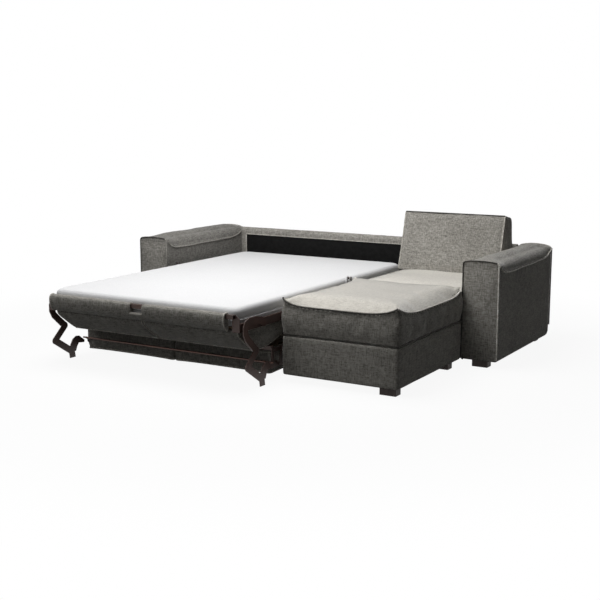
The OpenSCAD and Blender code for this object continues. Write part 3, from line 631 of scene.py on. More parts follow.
def side_loft(name, x0, x1, profile, edge=0.014, swell=0.012, stations=34):
    """A cushion drawn along X through a side profile in Y and Z that swells towards its middle."""
    prof = np.array(profile, float)
    mid = prof.mean(0)
    reach = np.abs(prof - mid).max(0)
    sunk, dish = 0.002, 0.012

    def at(x, scale):
        return np.column_stack([np.full(len(prof), x), mid + (prof - mid) * scale])

    rings = [at(x0 + sunk + dish * share**2, share * (1 - edge / reach)) for share in (0.35, 0.7, 0.92)]
    for a in QUARTER:
        rings.append(at(x0 + edge * (1 - math.cos(a)), 1 - edge * (1 - math.sin(a)) / reach))
    left_seam = rings[-2]
    for t in 0.5 - 0.5 * np.cos(np.pi * np.arange(1, stations) / stations):
        x = x0 + edge + (x1 - x0 - 2 * edge) * t
        rings.append(at(x, 1 + swell * (1 - (2 * t - 1) ** 4) / reach))
    for a in reversed(QUARTER):
        rings.append(at(x1 - edge * (1 - math.cos(a)), 1 - edge * (1 - math.sin(a)) / reach))
    right_seam = rings[-3]
    rings += [at(x1 - sunk, share * (1 - edge / reach)) for share in (0.92, 0.7, 0.35)]
    return lofted(name, rings, ([x0 + sunk, *mid], [x1 - sunk, *mid])), left_seam, right_seam


# Properties


def length(name, description, default, low, high):
    """A described length."""
    return bpy.props.FloatProperty(name=name, description=description, default=default, min=low, max=high,
                                   unit="LENGTH")


def colour(name, description, default):
    """A described colour."""
    return bpy.props.FloatVectorProperty(name=name, description=description, default=default,
                                         subtype="COLOR", size=3, min=0, max=1)


class SofaSizes(bpy.types.PropertyGroup):
    """Sizes of the upholstery"""

    piping_radius: length("Piping radius", "Radius of the cord sewn into the seams", 0.0042, 0.001, 0.008)
    arm_top_radius: length("Arm top radius", "Rounding of the arm pads along their length",
                           0.056, 0.01, 0.08)
    arm_seam_dip: length("Arm seam dip", "How far the arm's side seam drops behind the front",
                         0.064, 0.0, 0.1)
    arm_crown: length("Arm crown", "Height of the arm pad's crown over its edges", 0.022, 0.0, 0.03)
    pouf_sag: length("Pouf seam sag", "How far the pouf's piping sags between its corners", 0.046, 0.0, 0.06)
    mattress_edge: length("Mattress edge", "Rounding along the mattress's upper edge", 0.028, 0.004, 0.03)
    border_seam: length("Mattress border seam", "Height of the mattress's side piping over its underside",
                        0.034, 0.02, 0.08)


class SofaColours(bpy.types.PropertyGroup):
    """Colours of the cloth, steel and wood"""

    thread_light: colour("Light threads", "Palest threads of the melange cloth", (0.42, 0.405, 0.37))
    thread_middle: colour("Middle threads", "Main colour of the melange cloth", (0.27, 0.258, 0.233))
    thread_dark: colour("Dark threads", "Darkest threads of the melange cloth", (0.13, 0.123, 0.11))
    mattress_top: colour("Mattress cover", "White top of the mattress", (0.71, 0.71, 0.715))
    mattress_border: colour("Mattress border", "Grey sides of the mattress", (0.7, 0.7, 0.7))
    steel: colour("Painted steel", "Brown paint of the mechanism and legs", (0.03, 0.014, 0.01))
    felt: colour("Felt", "Black lining behind the bed", (0.008, 0.008, 0.008))
    block: colour("Block feet", "Dark stained wood of the feet", (0.014, 0.008, 0.006))
    pine_light: colour("Pine", "Pale pine of the slats and battens", (0.52, 0.36, 0.2))
    pine_dark: colour("Pine grain", "Darker grain lines of the pine", (0.36, 0.22, 0.11))
    floor: colour("Floor", "White floor and backdrop", (0.9, 0.9, 0.9))


# Operators


class SOFA_OT_stage(bpy.types.Operator):
    """Makes the camera, the soft lights and the white floor"""

    bl_idname = "sofa.stage"
    bl_label = "Stage, lights and camera"

    def execute(self, context):
        scene = context.scene
        scene.view_settings.view_transform = "Standard"
        lens = bpy.data.cameras.new("Camera")
        lens.sensor_width, lens.lens, lens.clip_end = 36.0, CAMERA_LENS, 100.0
        camera = bpy.data.objects.new("Camera", lens)
        camera.location = CAMERA_PLACE
        camera.rotation_euler = [math.radians(turn) for turn in CAMERA_TURN]
        scene.collection.objects.link(camera)
        scene.camera = camera
        for name, place, size, power, aim in LIGHTS:
            lamp = bpy.data.lights.new(name, "AREA")
            lamp.energy, lamp.size = power, size
            light = bpy.data.objects.new(name, lamp)
            light.location = place
            light.rotation_euler = (Vector(aim) - Vector(place)).to_track_quat("-Z", "Y").to_euler()
            scene.collection.objects.link(light)
        self.world(scene)
        self.floor(scene)
        return {"FINISHED"}

    def world(self, scene):
        """Soft light from all round, and white where the camera sees past the floor."""
        scene.world = scene.world or bpy.data.worlds.new("World")
        scene.world.use_nodes = True
        tree = scene.world.node_tree
        back = tree.nodes["Background"]
        back.inputs["Color"].default_value = (1, 1, 1, 1)
        tree.links.new(remap(tree, self.seen(tree), to_low=WORLD_LIGHT), back.inputs["Strength"])

    def floor(self, scene):
        """A floor that looks white, takes a soft shade near the sofa and throws little light up."""
        corners = [(-40, -40, 0), (40, -40, 0), (40, 40, 0), (-40, 40, 0)]
        floor = flat_mesh("Floor", corners, [(0, 1, 2, 3)])
        matte = bpy.data.materials.new("White floor")
        matte.use_nodes = True
        tree = matte.node_tree
        tree.nodes.remove(tree.nodes["Principled BSDF"])
        seen = self.seen(tree)
        tint = mixed(tree, seen, (0.11, 0.11, 0.11, 1.0), tinted(scene.sofa_colours.floor, 1.0))
        plain = add(tree, "ShaderNodeBsdfDiffuse", {"Color": tint})
        glow = add(tree, "ShaderNodeEmission", {"Color": (1, 1, 1, 1), "Strength": 1.0})
        coords = tree.nodes.new("ShaderNodeTexCoord")
        far = add(tree, "ShaderNodeVectorMath", {0: coords.outputs["Object"]}, operation="LENGTH")
        white = remap(tree, far.outputs["Value"], 1.5, 3.2, 0.92, 1.0, interpolation_type="SMOOTHSTEP")
        share = math_node(tree, "MULTIPLY", seen, white)
        both = add(tree, "ShaderNodeMixShader", {0: share, 1: plain.outputs[0], 2: glow.outputs[0]})
        tree.links.new(both.outputs[0], tree.nodes["Material Output"].inputs["Surface"])
        floor.data.materials.append(matte)

    def seen(self, tree):
        """1 where the camera, a reflection or clear glass looks."""
        path = tree.nodes.new("ShaderNodeLightPath")
        both = math_node(tree, "ADD", path.outputs["Is Camera Ray"], path.outputs["Is Glossy Ray"])
        both = math_node(tree, "ADD", both, path.outputs["Is Transmission Ray"])
        return math_node(tree, "MINIMUM", both, 1.0)


class SOFA_OT_arms(bpy.types.Operator):
    """Covers both arms: a boxed body and a padded top whose piped seams dip along the sides"""

    bl_idname = "sofa.arms"
    bl_label = "Arms"

    def execute(self, context):
        for side in ("left", "right"):
            lo, hi = BOX[side + "_arm_casing"]
            self.arm(side, lo, hi, BOX[side + "_arm_pad"][1].z + 0.003, context.scene.sofa_sizes)
        return {"FINISHED"}

    def runs(self, depth):
        """Places along the arm, each with how far the arm is drawn in there to round its ends."""
        bevel = 0.007
        front = [(0.0, bevel), (0.001, 0.45 * bevel), (0.0035, 0.12 * bevel), (0.008, 0.0)]
        along = [(run, 0.0) for run in np.linspace(0.016, depth - 0.03, 54)]
        rear = [(depth - 0.016, 0.12 * bevel), (depth - 0.005, 0.5 * bevel), (depth, 1.6 * bevel)]
        return front + along + rear

    def arm(self, side, lo, hi, top, sizes):
        x0, y0, z0 = lo
        x1, y1, _ = hi
        w, depth = x1 - x0, y1 - y0
        xm, zm = (x0 + x1) / 2, (z0 + top) / 2
        edge_z, tight, heel, foot_r = top - 0.007, 0.019, 0.05, 0.012
        dips = ((0.02, 0.38), (0.05, 0.74), (0.09, 0.95), (0.14, 1.02), (0.4, 1.02), (0.642, 1.0),
                (0.849, 0.77), (0.905, 0.45), (depth, 0.2))
        seam = [(0, -0.004)] + [(run, -share * sizes.arm_seam_dip) for run, share in dips]
        between = (0.08, 0.3, 0.7, 0.92)
        pad_rings, body_rings, seams = [], [], [[], []]
        for run, inset in self.runs(depth):
            y = y0 + run
            inner = smooth(0, 0.14, run) * smooth(0, 0.1, depth - run)
            radius = tight + (sizes.arm_top_radius - tight) * inner
            zs = min(edge_z - radius * 0.9, edge_z + float(through(seam, run)))
            crown, plump = sizes.arm_crown * (0.25 + 0.75 * inner), 0.004 * inner
            low = z0 + heel * (1 - math.sqrt(max(0.0, 1 - (max(0.0, run - depth + heel) / heel) ** 2)))
            up = [(-plump * math.sin(math.pi * (0.15 + 0.7 * t)), zs + (edge_z - radius - zs) * t)
                  for t in np.linspace(0, 1, 7)[:-1]]
            up += [(radius * (1 - math.cos(a)), edge_z - radius + radius * math.sin(a))
                   for a in np.linspace(0, math.pi / 2, 8)[:-1]]
            over = [(radius + (w - 2 * radius) * t, edge_z + crown * (1 - (2 * t - 1) ** 2) ** 0.8)
                    for t in np.linspace(0, 1, 15)]
            pad = up + over + [(w - a, z) for a, z in reversed(up)] + [(w - w * t, zs) for t in between]
            down = [(w, zs + (low + foot_r - zs) * t) for t in np.linspace(0, 1, 12)]
            down += [(w - foot_r * (1 - math.cos(a)), low + foot_r * (1 - math.sin(a)))
                     for a in (0.5, 1.0, math.pi / 2)]
            bottom = [(w - foot_r - (w - 2 * foot_r) * t, low) for t in (0.25, 0.5, 0.75)]
            body = down + bottom + [(w - a, z) for a, z in reversed(down)] + [(w * t, zs) for t in between]
            for outline, rings in ((pad, pad_rings), (body, body_rings)):
                across, z = np.array(outline).T
                x = xm + (x0 + across - xm) * (1 - 2 * inset / w)
                z = zm + (z - zm) * (1 - 2 * inset / (top - z0))
                rings.append(np.column_stack([x, np.full(len(x), y), z]))
            if 0.004 < run < depth - 0.004:
                seams[0].append((x0 - 0.0015, y, zs))
                seams[1].append((x1 + 0.003, y, zs))
        pad = lofted(side + "_arm_top", pad_rings)
        body = lofted(side + "_arm_cover", body_rings)
        rumple(pad, 0.0028, 0.11, 4.1 if side == "left" else 9.3,
               lambda co: smooth(y0, y0 + 0.12, co[:, 1]) * smooth(y1, y1 - 0.12, co[:, 1])
               * smooth(top - 0.06, top - 0.03, co[:, 2]))
        # The left arm, apart from its front, takes a darker copy of the cloth: painted shade.
        sides = melange("Melange darkened by painted shade on the left arm", 0.62) if side == "left" else upholstery()
        for part in (pad, body):
            two_cloths(part, sides, upholstery(), [p.normal.y < -0.6 for p in part.data.polygons])
        placed(pad, "sofa", side + "_arm_pad", fill=0.8, angle=60)
        placed(body, "sofa", side + "_arm_casing", angle=60)
        front = self.outline(pad_rings[3], body_rings[3], y0 + 0.0005)
        rear = self.outline(pad_rings[-4], body_rings[-4], y1 - 0.002)
        # Painted light and shade on the piping: the rear outline and left side seam take the paler piping
        # cloth, the front's left edge and top the darkened cord, and on the right arm the front's right edge
        # and outer side seam the much paler cord.
        low, high = self.halves(front, x1)
        pale = piping("pale", [[p for p in rear if p[2] > z0 + 0.06], seams[0]])
        lit = piping("lit", [high, seams[1]], cord_strong_painted_highlight() if side == "right" else upholstery())
        dark = piping("dark", [low], cord_painted_shade())
        placed(joined(side + "_arm_piping", pale, lit, dark), "sofa", angle=None)

    def halves(self, front, x1):
        """The outline's part up the left edge and over the top, and its part down the right edge."""
        side = [i for i, p in enumerate(front) if p[0] > x1 - 0.012]
        rights = front[side[0]:side[-1] + 1]
        rest = front[:side[0] + 1] if side[-1] == len(front) - 1 else front[side[-1]:]
        return rest, rights

    def outline(self, pad_ring, body_ring, y):
        """The front or rear outline from one bottom edge over the top to the other."""
        over = [tuple(p) for p in pad_ring[:-4]]
        down = [tuple(p) for p in body_ring[:12]]
        up = [tuple(p) for p in body_ring[18:30]]
        return [(p[0], y, p[2]) for p in up + over + down]


class SOFA_OT_back(bpy.types.Operator):
    """Covers the low back: padded rail, corner post, felt lining and outer rear cover"""

    bl_idname = "sofa.back"
    bl_label = "Low back"

    def execute(self, context):
        lo, hi = BOX["back_rail"]
        r = 0.013
        prof = [(lo.y + 0.004, lo.z + 0.004), (lo.y + 0.003, (lo.z + hi.z) / 2), (lo.y + 0.005, hi.z - r),
                (lo.y + r, hi.z), ((lo.y + hi.y) / 2, hi.z + 0.003), (hi.y - r, hi.z),
                (hi.y - 0.001, hi.z - r), (hi.y, (lo.z + hi.z) / 2), (hi.y, lo.z + 0.003),
                (hi.y - 0.01, lo.z), (lo.y + 0.01, lo.z)]
        rail, _, _ = side_loft("back_rail_cover", lo.x, hi.x, closed_curve(prof, 44), 0.004, 0.001, 120)
        rumple(rail, 0.001, 0.09, 2.2, lambda co: smooth(lo.z, lo.z + 0.02, co[:, 2]))
        placed(rail, "sofa", "back_rail", material=upholstery(), fill=0.8)
        plo, phi = BOX["back_post"]
        post_prof = [(plo.x + 0.001, phi.y), (plo.x, plo.y + 0.002), (plo.x + 0.006, plo.y - 0.003),
                     ((plo.x + phi.x) / 2, plo.y - 0.006), (phi.x - 0.006, plo.y - 0.003),
                     (phi.x, plo.y + 0.002), (phi.x - 0.001, phi.y), ((plo.x + phi.x) / 2, phi.y)]
        shape = closed_curve(post_prof, 32)
        rings = [np.column_stack([shape, np.full(len(shape), z)]) for z in np.linspace(plo.z, phi.z, 40)]
        post = lofted("back_post_pad", rings)
        placed(post, "sofa", "back_post", material=upholstery(), fill=0.7)
        lines = [[(phi.x - 0.001, plo.y - 0.001, z) for z in np.linspace(plo.z + 0.002, phi.z - 0.002, 30)],
                 [(x, lo.y + 0.0055, lo.z + 0.003) for x in np.linspace(phi.x, hi.x - 0.003, 90)]]
        placed(piping("back_piping", lines), "sofa", angle=None)
        give(felt(), "back_lining")
        c = context.scene.sofa_colours
        give(wood("Pine boards", c.pine_light, c.pine_dark, (9.0, 70.0, 70.0)), "back_panel", "rear_beam")
        self.rear_cover()
        return {"FINISHED"}

    def rear_cover(self):
        """The outer back, drawn tight between its seams."""
        lo, hi = BOX["rear_cover"]
        seams = np.array([lo.x, lo.x + (hi.x - lo.x) / 3, lo.x + 2 * (hi.x - lo.x) / 3, hi.x])
        xs = np.unique(np.concatenate([np.linspace(lo.x, hi.x, 121), seams]))
        zs = np.linspace(lo.z, hi.z, 40)
        near = np.abs(xs[:, None] - seams[None]).min(1)
        rings = []
        for x, gap in zip(xs, near):
            puff = 0.004 * smooth(0, 0.03, gap)
            y = hi.y + puff * smooth(lo.z, lo.z + 0.03, zs) * smooth(hi.z, hi.z - 0.03, zs)
            front = [(x, lo.y, z) for z in (hi.z, (lo.z + hi.z) / 2, lo.z)]
            rings.append(np.array([(x, b, z) for b, z in zip(y, zs)] + front))
        cover = lofted("rear_cover_cloth", rings)
        placed(cover, "sofa", "rear_cover", slot="rear_fabric", material=melange("Outer back cloth", 0.85))
        upright = np.linspace(lo.z + 0.003, hi.z - 0.003, 40)
        lines = [[(x, hi.y + 0.0005, z) for z in upright] for x in seams[1:3]]
        placed(piping("rear_cover_seams", lines, radius=0.0022), "sofa", slot="rear_fabric", angle=None)


def base_cover(name, node, body):
    """The cloth-covered box under a seat, with rounded upright edges."""
    lo, hi = BOX[node]
    ring = box_outline(lo, hi, 0.016, 24)
    rings = [ring(0.006, lo.z, share) for share in (0.3, 0.7, 0.95)]
    rings += [ring(inset, lo.z + z) for inset, z in ((0.006, 0), (0.002, 0.0015), (0.0005, 0.006))]
    rings += [ring(-0.0016 * math.sin(math.pi * t), lo.z + (hi.z - lo.z) * t)
              for t in np.linspace(0.05, 0.95, 14)]
    rings += [ring(inset, hi.z - z) for inset, z in ((0.001, 0.006), (0.004, 0.002), (0.008, 0.0))]
    rings += [ring(0.008, hi.z, share) for share in (0.95, 0.7, 0.3)]
    obj = lofted(name, rings)
    rumple(obj, 0.001, 0.14, len(name))
    placed(obj, body, node, material=upholstery(), angle=40)


class SOFA_OT_chaise(bpy.types.Operator):
    """Makes the chaise's covered base, seat cushion and standing back cushion"""

    bl_idname = "sofa.chaise"
    bl_label = "Chaise"

    def execute(self, context):
        base_cover("chaise_base_cover", "chaise_base", "sofa")
        lo, hi = BOX["chaise_seat_cushion"]
        seat, upper, lower = boxed_cushion(
            "chaise_seat", lo, hi, lambda s, side: hi.z - 0.012 - 0.006 * (1 - s**4), 0.012)
        stuffed(seat, [upper, lower], (lo.z + 0.02, lo.z + 0.004), 0.002, 0.16, 5.5, (lo.z, lo.z + 0.04))
        # The top inside the upper seam takes a still paler copy of the cloth: painted light.
        two_cloths(seat, upholstery(), seat_top_cloth_painted_light("Melange paled by painted light on the chaise", 2.7), inside_seam(seat, upper))
        placed(seat, "sofa", "chaise_seat_cushion", fill=0.85)
        # Painted light and shade on the piping: the upper cord takes the paler piping cloth and the lower
        # cord is darkened.
        cords = joined("chaise_seat_piping", piping("pale", [upper], closed=True),
                       piping("dark", [lower], cord_painted_shade(), closed=True))
        placed(cords, "sofa", angle=None)
        lo, hi = BOX["chaise_back_cushion"]
        y0, y1, z0, z1 = lo.y, hi.y, lo.z, hi.z + 0.007
        shares = [(0.02, 0.0), (0.0, 0.05), (0.11, 0.33), (0.23, 0.66), (0.325, 0.95), (0.35, 1.0),
                  (0.4, 0.99), (0.5, 0.97), (0.62, 0.955), (0.7, 0.92), (0.735, 0.83), (0.75, 0.68),
                  (0.79, 0.5), (0.87, 0.38), (0.96, 0.2), (0.985, 0.05), (0.96, 0.0), (0.5, 0.0)]
        prof = closed_curve([(y0 + (y1 - y0) * a, z0 + (z1 - z0) * b) for a, b in shares], 96)
        back, left, right = side_loft("chaise_back", lo.x, hi.x, prof, edge=0.014, swell=0.002)
        below = left[:, 2] < z0 + 0.8 * (z1 - z0)
        k = int(np.argmin(np.abs(left[:, 1] - (y0 + 0.35 * (y1 - y0))) + 10 * below))
        ends = left[k, 0] + 0.002, right[k, 0] - 0.002
        crest = [(x, left[k, 1], left[k, 2] + 0.003) for x in np.linspace(*ends, 60)]
        stuffed(back, [left, right, crest], (z0 + 0.03, z0 + 0.01), 0.004, 0.15, 7.7, (z0, z0 + 0.06))
        placed(back, "sofa", "chaise_back_cushion", material=upholstery(), fill=0.8)
        cords = piping("chaise_back_piping", [left, right], closed=True)
        # The crest's cord is darkened: painted shade.
        line = piping("crest", [crest], cord_painted_shade())
        placed(joined("chaise_back_piping", cords, line), "sofa", angle=None)
        return {"FINISHED"}


class SOFA_OT_pouf(bpy.types.Operator):
    """Makes the pouf: covered base and a cushion whose piping sags between its raised corners"""

    bl_idname = "sofa.pouf"
    bl_label = "Pouf"

    def execute(self, context):
        sag = context.scene.sofa_sizes.pouf_sag
        base_cover("pouf_base_cover", "pouf_base", "pouf")
        lo, hi = BOX["pouf_cushion"]
        corner_z = hi.z - 0.012

        def seam(s, side):
            depth = np.choose(side, [0.93, 1.15, 0.8, 1.1])
            power = np.choose(side, [np.where(s < 0, 7, 4.5), np.where(s < 0, 3.5, 7), 6, 6])
            return corner_z - sag * depth * (1 - np.abs(s) ** power)

        cushion, upper, lower = boxed_cushion("pouf_seat", lo, hi, seam, 0.012, corner=0.022, draw=0.006,
                                              bulge=0.007, power=5.0, n=36)
        stuffed(cushion, [upper, lower], (lo.z + 0.02, lo.z + 0.004), 0.0025, 0.15, 3.3, (lo.z, lo.z + 0.04))
        # The top inside the upper seam takes a paler copy of the cloth: painted light.
        two_cloths(cushion, upholstery(), seat_top_cloth_painted_light(), inside_seam(cushion, upper))
        placed(cushion, "pouf", "pouf_cushion", fill=0.85)
        centre = np.array([(lo.x + hi.x) / 2, (lo.y + hi.y) / 2, 0])
        upper = centre + (upper - centre) * [1.004, 1.006, 1] + [0, 0, 0.0015]
        count = len(upper) // 4
        front, rest = upper[:count + 1], np.concatenate([upper[count:], upper[:1]])
        # Painted light and shade on the piping: the lower cord and the front edge are darkened, the other
        # upper edges made much paler.
        cords = piping("cords", [lower], cord_painted_shade(), closed=True)
        dark = piping("dark", [front + [0, -0.003, 0.001]], cord_painted_shade(), radius=0.005)
        pale = piping("pale", [rest], cord_strong_painted_highlight())
        placed(joined("pouf_piping", cords, dark, pale), "pouf", angle=None)
        return {"FINISHED"}


class SOFA_OT_mattress(bpy.types.Operator):
    """Makes the white mattress with its grey piped border, cut at the two folds"""

    bl_idname = "sofa.mattress"
    bl_label = "Mattress"

    def execute(self, context):
        sizes = context.scene.sofa_sizes
        head, foot, middle = (BOX[k + "_mattress"] for k in ("head", "foot", "middle"))
        lo, hi = (head[0].x, foot[0].y, head[0].z), (head[1].x, head[1].y, head[1].z)
        ring, edge = box_outline(lo, hi, 0.055, 48), sizes.mattress_edge
        rings = [ring(0.01, lo[2], s) for s in (0.3, 0.7, 0.95)]
        rings += [ring(0.01, lo[2]), ring(0.003, lo[2] + 0.003), ring(0.0, lo[2] + 0.01)]
        seam = lo[2] + sizes.border_seam
        rings += [ring(0.0015, seam - 0.008), ring(0.004, seam - 0.001), ring(0.004, seam + 0.001),
                  ring(0.0015, seam + 0.008)]
        rings += [ring(0.0, z) for z in np.linspace(seam + 0.014, hi[2] - edge, 4)]
        for a in np.linspace(0.25, math.pi / 2, 6):
            rings.append(ring(edge * (1 - math.cos(a)), hi[2] - edge + edge * math.sin(a)))
        rings += [ring(edge, hi[2], s) for s in (0.95, 0.85, 0.7, 0.5, 0.25)]
        whole = lofted("mattress", rings)
        whole.data.materials.append(mattress_cloth())
        whole.data.materials.append(mattress_cloth(True))
        # Painted light: besides the top, the border's front face takes the cover's cloth instead of the
        # border's.
        for p in whole.data.polygons:
            upper = p.center.z > hi[2] - edge * 0.55 or p.normal.z > 0.75
            p.material_index = 0 if upper or p.normal.y < -0.6 else 1
        line = ring(-0.0005, seam)
        cord = piping("border", [line], mattress_cloth(), radius=0.0022, closed=True)
        folds = (middle[1].y + 0.0005, middle[0].y - 0.0005)
        spans = {"head": (folds[0], None), "middle": (folds[1], folds[0]), "foot": (None, folds[1])}
        for name, (low, high) in spans.items():
            part = self.between(whole, name + "_mattress_pad", low, high, 1)
            placed(part, name + "_section", name + "_mattress", slot="mattress_fabric", fill=0.95, angle=40)
            trim = self.between(cord, name + "_mattress_piping", low, high, 0)
            placed(trim, name + "_section", slot="mattress_fabric", angle=None)
        for obj in (whole, cord):
            bpy.data.objects.remove(obj)
        return {"FINISHED"}

    def between(self, source, name, low, high, side_material):
        """A copy of the source between two places along the bed, closed where it is cut."""
        obj = source.copy()
        obj.data = source.data.copy()
        obj.name = obj.data.name = name
        bpy.context.scene.collection.objects.link(obj)
        work = bmesh.new()
        work.from_mesh(obj.data)
        for y, out in ((low, -1), (high, 1)):
            if y is not None:
                cut = bmesh.ops.bisect_plane(work, geom=work.verts[:] + work.edges[:] + work.faces[:],
                                             plane_co=(0, y, 0), plane_no=(0, out, 0), clear_outer=True)
                edges = [e for e in cut["geom_cut"] if isinstance(e, bmesh.types.BMEdge)]
                caps = bmesh.ops.edgenet_fill(work, edges=edges)["faces"]
                for face in caps:
                    face.material_index = side_material
                    face.smooth = False
        bmesh.ops.recalc_face_normals(work, faces=work.faces)
        work.to_mesh(obj.data)
        work.free()
        return obj


class SOFA_OT_foot_roll(bpy.types.Operator):
    """Makes the padded roll over the bed's foot end, with its hand hole"""

    bl_idname = "sofa.foot_roll"
    bl_label = "Foot roll"

    def execute(self, context):
        lo, hi = BOX["foot_roll"]
        mid, half = (lo.x + hi.x) / 2, 0.042
        y0, y1, z0, h = lo.y, hi.y, lo.z, hi.z - lo.z

        def profile(count, *places):
            return closed_curve([(y, z0 + share * h) for y, share in places], count)

        full = profile(60, (y1, 0.12), (y1 - 0.002, -0.1), (y0 + 0.033, -0.14), (y0 + 0.02, -0.01),
                       (y0 + 0.01, 0.14), (y0 + 0.003, 0.37), (y0, 0.6), (y0 + 0.004, 0.86),
                       (y0 + 0.014, 0.98), (y0 + 0.028, 1.0), (y1 - 0.003, 0.97), (y1, 0.85), (y1, 0.5))
        lip = profile(40, (y1, 0.1), (y1 - 0.002, -0.1), (y0 + 0.033, -0.14), (y0 + 0.02, -0.01),
                      (y0 + 0.01, 0.12), (y0 + 0.003, 0.26), (y0 + 0.007, 0.37), (y0 + 0.02, 0.4),
                      (y1 - 0.006, 0.37), (y1, 0.28))
        left, la, _ = side_loft("roll_left", lo.x - 0.014, mid - half, full, 0.006, 0.001, 60)
        right, _, rb = side_loft("roll_right", mid + half, hi.x - 0.024, full, 0.006, 0.001, 60)
        low, _, _ = side_loft("roll_lip", mid - half - 0.004, mid + half + 0.004, lip, 0.002, 0.0, 10)
        for k, part in enumerate((left, right)):
            rumple(part, 0.0022, 0.09, 6.1 + k, lambda co: smooth(y1, y1 - 0.012, co[:, 1]))
        roll = joined("foot_roll_pad", left, right, low)
        # The roll takes a darker copy of the cloth: painted shade.
        placed(roll, "foot_section", "foot_roll",
               material=melange("Melange darkened by painted shade on the foot roll", 0.85), fill=0.7)
        placed(piping("foot_roll_piping", [la, rb], closed=True), "foot_section", angle=None)
        return {"FINISHED"}


class SOFA_OT_back_cushions(bpy.types.Operator):
    """Makes the two back cushions that hang face down under the bed's foot section"""

    bl_idname = "sofa.back_cushions"
    bl_label = "Back cushions"

    def execute(self, context):
        for k, (side, start, end) in enumerate((("left", 0.034, 0.016), ("right", 0.016, 0.0))):
            lo, hi = BOX[side + "_back_cushion"]
            y0, y1, z0, z1 = lo.y, hi.y, lo.z, hi.z
            shares = [(1.0, 1.0), (1.0, 0.42), (0.94, 0.33), (0.8, 0.17), (0.66, 0.05), (0.53, 0.0),
                      (0.4, 0.0), (0.33, 0.03), (0.27, 0.15), (0.14, 0.5), (0.03, 0.82), (-0.005, 0.98),
                      (-0.008, 1.1), (0.01, 1.15), (0.035, 1.13), (0.05, 1.0), (0.35, 1.0), (0.7, 1.0)]
            prof = closed_curve([(y0 + (y1 - y0) * a, z0 + (z1 - z0) * b) for a, b in shares], 80)
            prof[:, 1] = np.where(prof[:, 0] > y0 + 0.03, np.minimum(prof[:, 1], z1), prof[:, 1])
            obj, left, right = side_loft(side + "_back_pad", lo.x + start, hi.x + end, prof, 0.013, 0.001)
            low = np.argmin(np.hypot(left[:, 1] - (y0 + 0.325 * (y1 - y0)),
                                     left[:, 2] - (z0 + 0.04 * (z1 - z0))))
            ends = left[low, 0] + 0.003, right[low, 0] - 0.003
            crest = [(x, left[low, 1] - 0.003, left[low, 2] - 0.002) for x in np.linspace(*ends, 50)]
            stuffed(obj, [left, right, crest], (z1 - 0.02, z1 - 0.004), 0.003, 0.12, 1.7 + k, (z1, z1 - 0.03))
            # The back cushions take a darker copy of the cloth: painted shade.
            placed(obj, "foot_section", side + "_back_cushion",
                   material=melange("Melange darkened by painted shade on the back cushions", 0.8, sheen=0.1), fill=0.8)
            # The side cords take the paler piping cloth and the crest's cord a much paler one: painted
            # highlights.
            cords = piping("cords", [left, right], closed=True)
            line = piping("crest", [crest], cord_strong_painted_highlight(), radius=0.005)
            placed(joined(side + "_back_pad_piping", cords, line), "foot_section", angle=None)
        return {"FINISHED"}


class SOFA_OT_seat_cushions(bpy.types.Operator):
    """Makes the two seat cushions, which lie upside down on their frame under the open bed"""

    bl_idname = "sofa.seat_cushions"
    bl_label = "Seat cushions"

    def execute(self, context):
        for k, side in enumerate(("left", "right")):
            lo, hi = BOX[side + "_seat_cushion"]
            height = hi.z - lo.z
            obj, upper, lower = boxed_cushion(
                side + "_seat_pad", (lo.x, lo.y, 0), (hi.x, hi.y, height),
                lambda s, side: height - 0.014 - 0.004 * (1 - s**4), 0.013, corner=0.026)
            stuffed(obj, [upper, lower], (0.02, 0.004), 0.0025, 0.13, 8.2 + k, (0, 0.04))
            # The top, hidden underneath at rest, takes the same paler copy of the cloth: painted light.
            two_cloths(obj, upholstery(), seat_top_cloth_painted_light(), inside_seam(obj, upper))
            points = [v.co for v in obj.data.vertices]
            upper, lower, points = (self.turned(p, hi.z) for p in (upper, lower, points))
            obj.data.vertices.foreach_set("co", points.ravel())
            obj.data.flip_normals()
            placed(obj, "seat_frame", side + "_seat_cushion", fill=0.85)
            cords = piping(side + "_seat_pad_piping", [upper, lower], closed=True)
            placed(cords, "seat_frame", angle=None)
        return {"FINISHED"}

    def turned(self, points, top):
        """Points of a cushion that stands on the floor, turned over so that they hang from a height."""
        p = np.array(points)
        return np.column_stack([p[:, 0], p[:, 1], top - p[:, 2]])


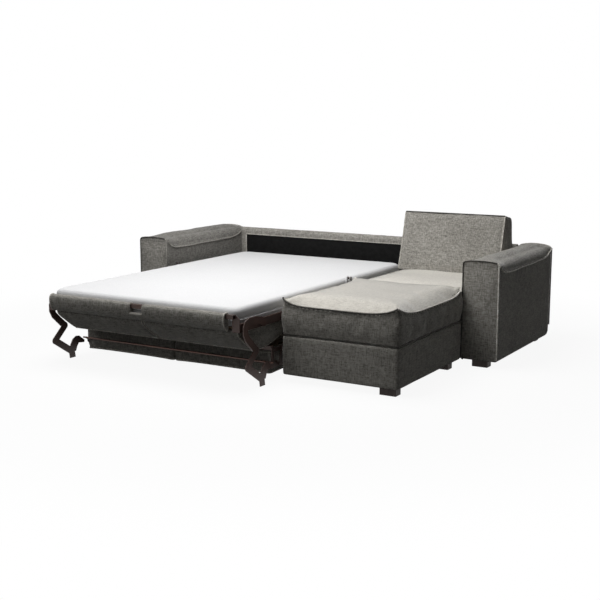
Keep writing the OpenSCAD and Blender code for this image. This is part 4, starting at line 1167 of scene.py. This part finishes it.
class SOFA_OT_mechanism(bpy.types.Operator):
    """Paints the steel of the bed's mechanism and gives the wood its grain"""

    bl_idname = "sofa.mechanism"
    bl_label = "Steel and wood"

    def execute(self, context):
        c = context.scene.sofa_colours
        give(block_wood(), "sofa_feet", "pouf_feet")
        # The thin rod's paint is made three times paler: a painted highlight.
        give(steel("Brown paint paled as a painted highlight", 3.0), "seat_rod")
        give(wood("Pine slats", c.pine_light, c.pine_dark, (8.0, 90.0, 90.0)), "head_slats", "middle_slats")
        # The battens and lower slats take the pine darkened to about a fifth: painted shade.
        deepened = tinted(c.pine_light, 0.22), tinted(c.pine_dark, 0.22)
        give(wood("Pine darkened by painted shade", *deepened, (90.0, 8.0, 90.0)),
             "left_batten", "right_batten", "seat_slats_set", "foot_slats")
        words = ("_rail", "_link", "_tube", "tubes", "_pins", "_leg", "_plate", "bolts")
        give(steel(), *(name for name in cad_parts
                        if name != "back_rail" and any(word in name for word in words)))
        self.ears()
        return {"FINISHED"}

    def ears(self):
        """The hinge ears beside the mattress, painted in greys that sit quietly by it."""
        level = BOX["head_mattress"][0].z + 0.012
        for side, name, grey in (("left", "Grey ears on the left", 0.07),
                                 ("right", "Pale ears on the right", 0.55)):
            quiet = paint(name, (grey, grey, grey, 1.0), 1.1, 0.1, 0.0005, Specular_IOR_Level=0.3)
            for rail in ("_head_rail", "_middle_rail"):
                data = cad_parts[side + rail].data
                data.materials.append(quiet)
                for face in data.polygons:
                    face.material_index = int(face.center.z > level)


class SOFA_PT_panel(bpy.types.Panel):
    """Lists the steps that dress the sofa bed, with their sizes and colours"""

    bl_idname = "SOFA_PT_panel"
    bl_label = "Sofa bed"
    bl_space_type = "VIEW_3D"
    bl_region_type = "UI"
    bl_category = "Sofa bed"

    def draw(self, context):
        for kind in OPERATORS:
            self.layout.operator(kind.bl_idname)
        for group in (context.scene.sofa_sizes, context.scene.sofa_colours):
            for key in group.__annotations__:
                self.layout.prop(group, key)


OPERATORS = (SOFA_OT_stage, SOFA_OT_arms, SOFA_OT_back, SOFA_OT_chaise, SOFA_OT_pouf, SOFA_OT_mattress,
             SOFA_OT_foot_roll, SOFA_OT_back_cushions, SOFA_OT_seat_cushions, SOFA_OT_mechanism)
CLASSES = (SofaSizes, SofaColours, *OPERATORS, SOFA_PT_panel)


def register():
    for kind in CLASSES:
        bpy.utils.register_class(kind)
    bpy.types.Scene.sofa_sizes = bpy.props.PointerProperty(type=SofaSizes)
    bpy.types.Scene.sofa_colours = bpy.props.PointerProperty(type=SofaColours)


def unregister():
    del bpy.types.Scene.sofa_sizes
    del bpy.types.Scene.sofa_colours
    for kind in reversed(CLASSES):
        bpy.utils.unregister_class(kind)


def main():
    register()
    for kind in OPERATORS:
        group, name = kind.bl_idname.split(".")
        getattr(getattr(bpy.ops, group), name)()


if __name__ == "__main__":
    main()
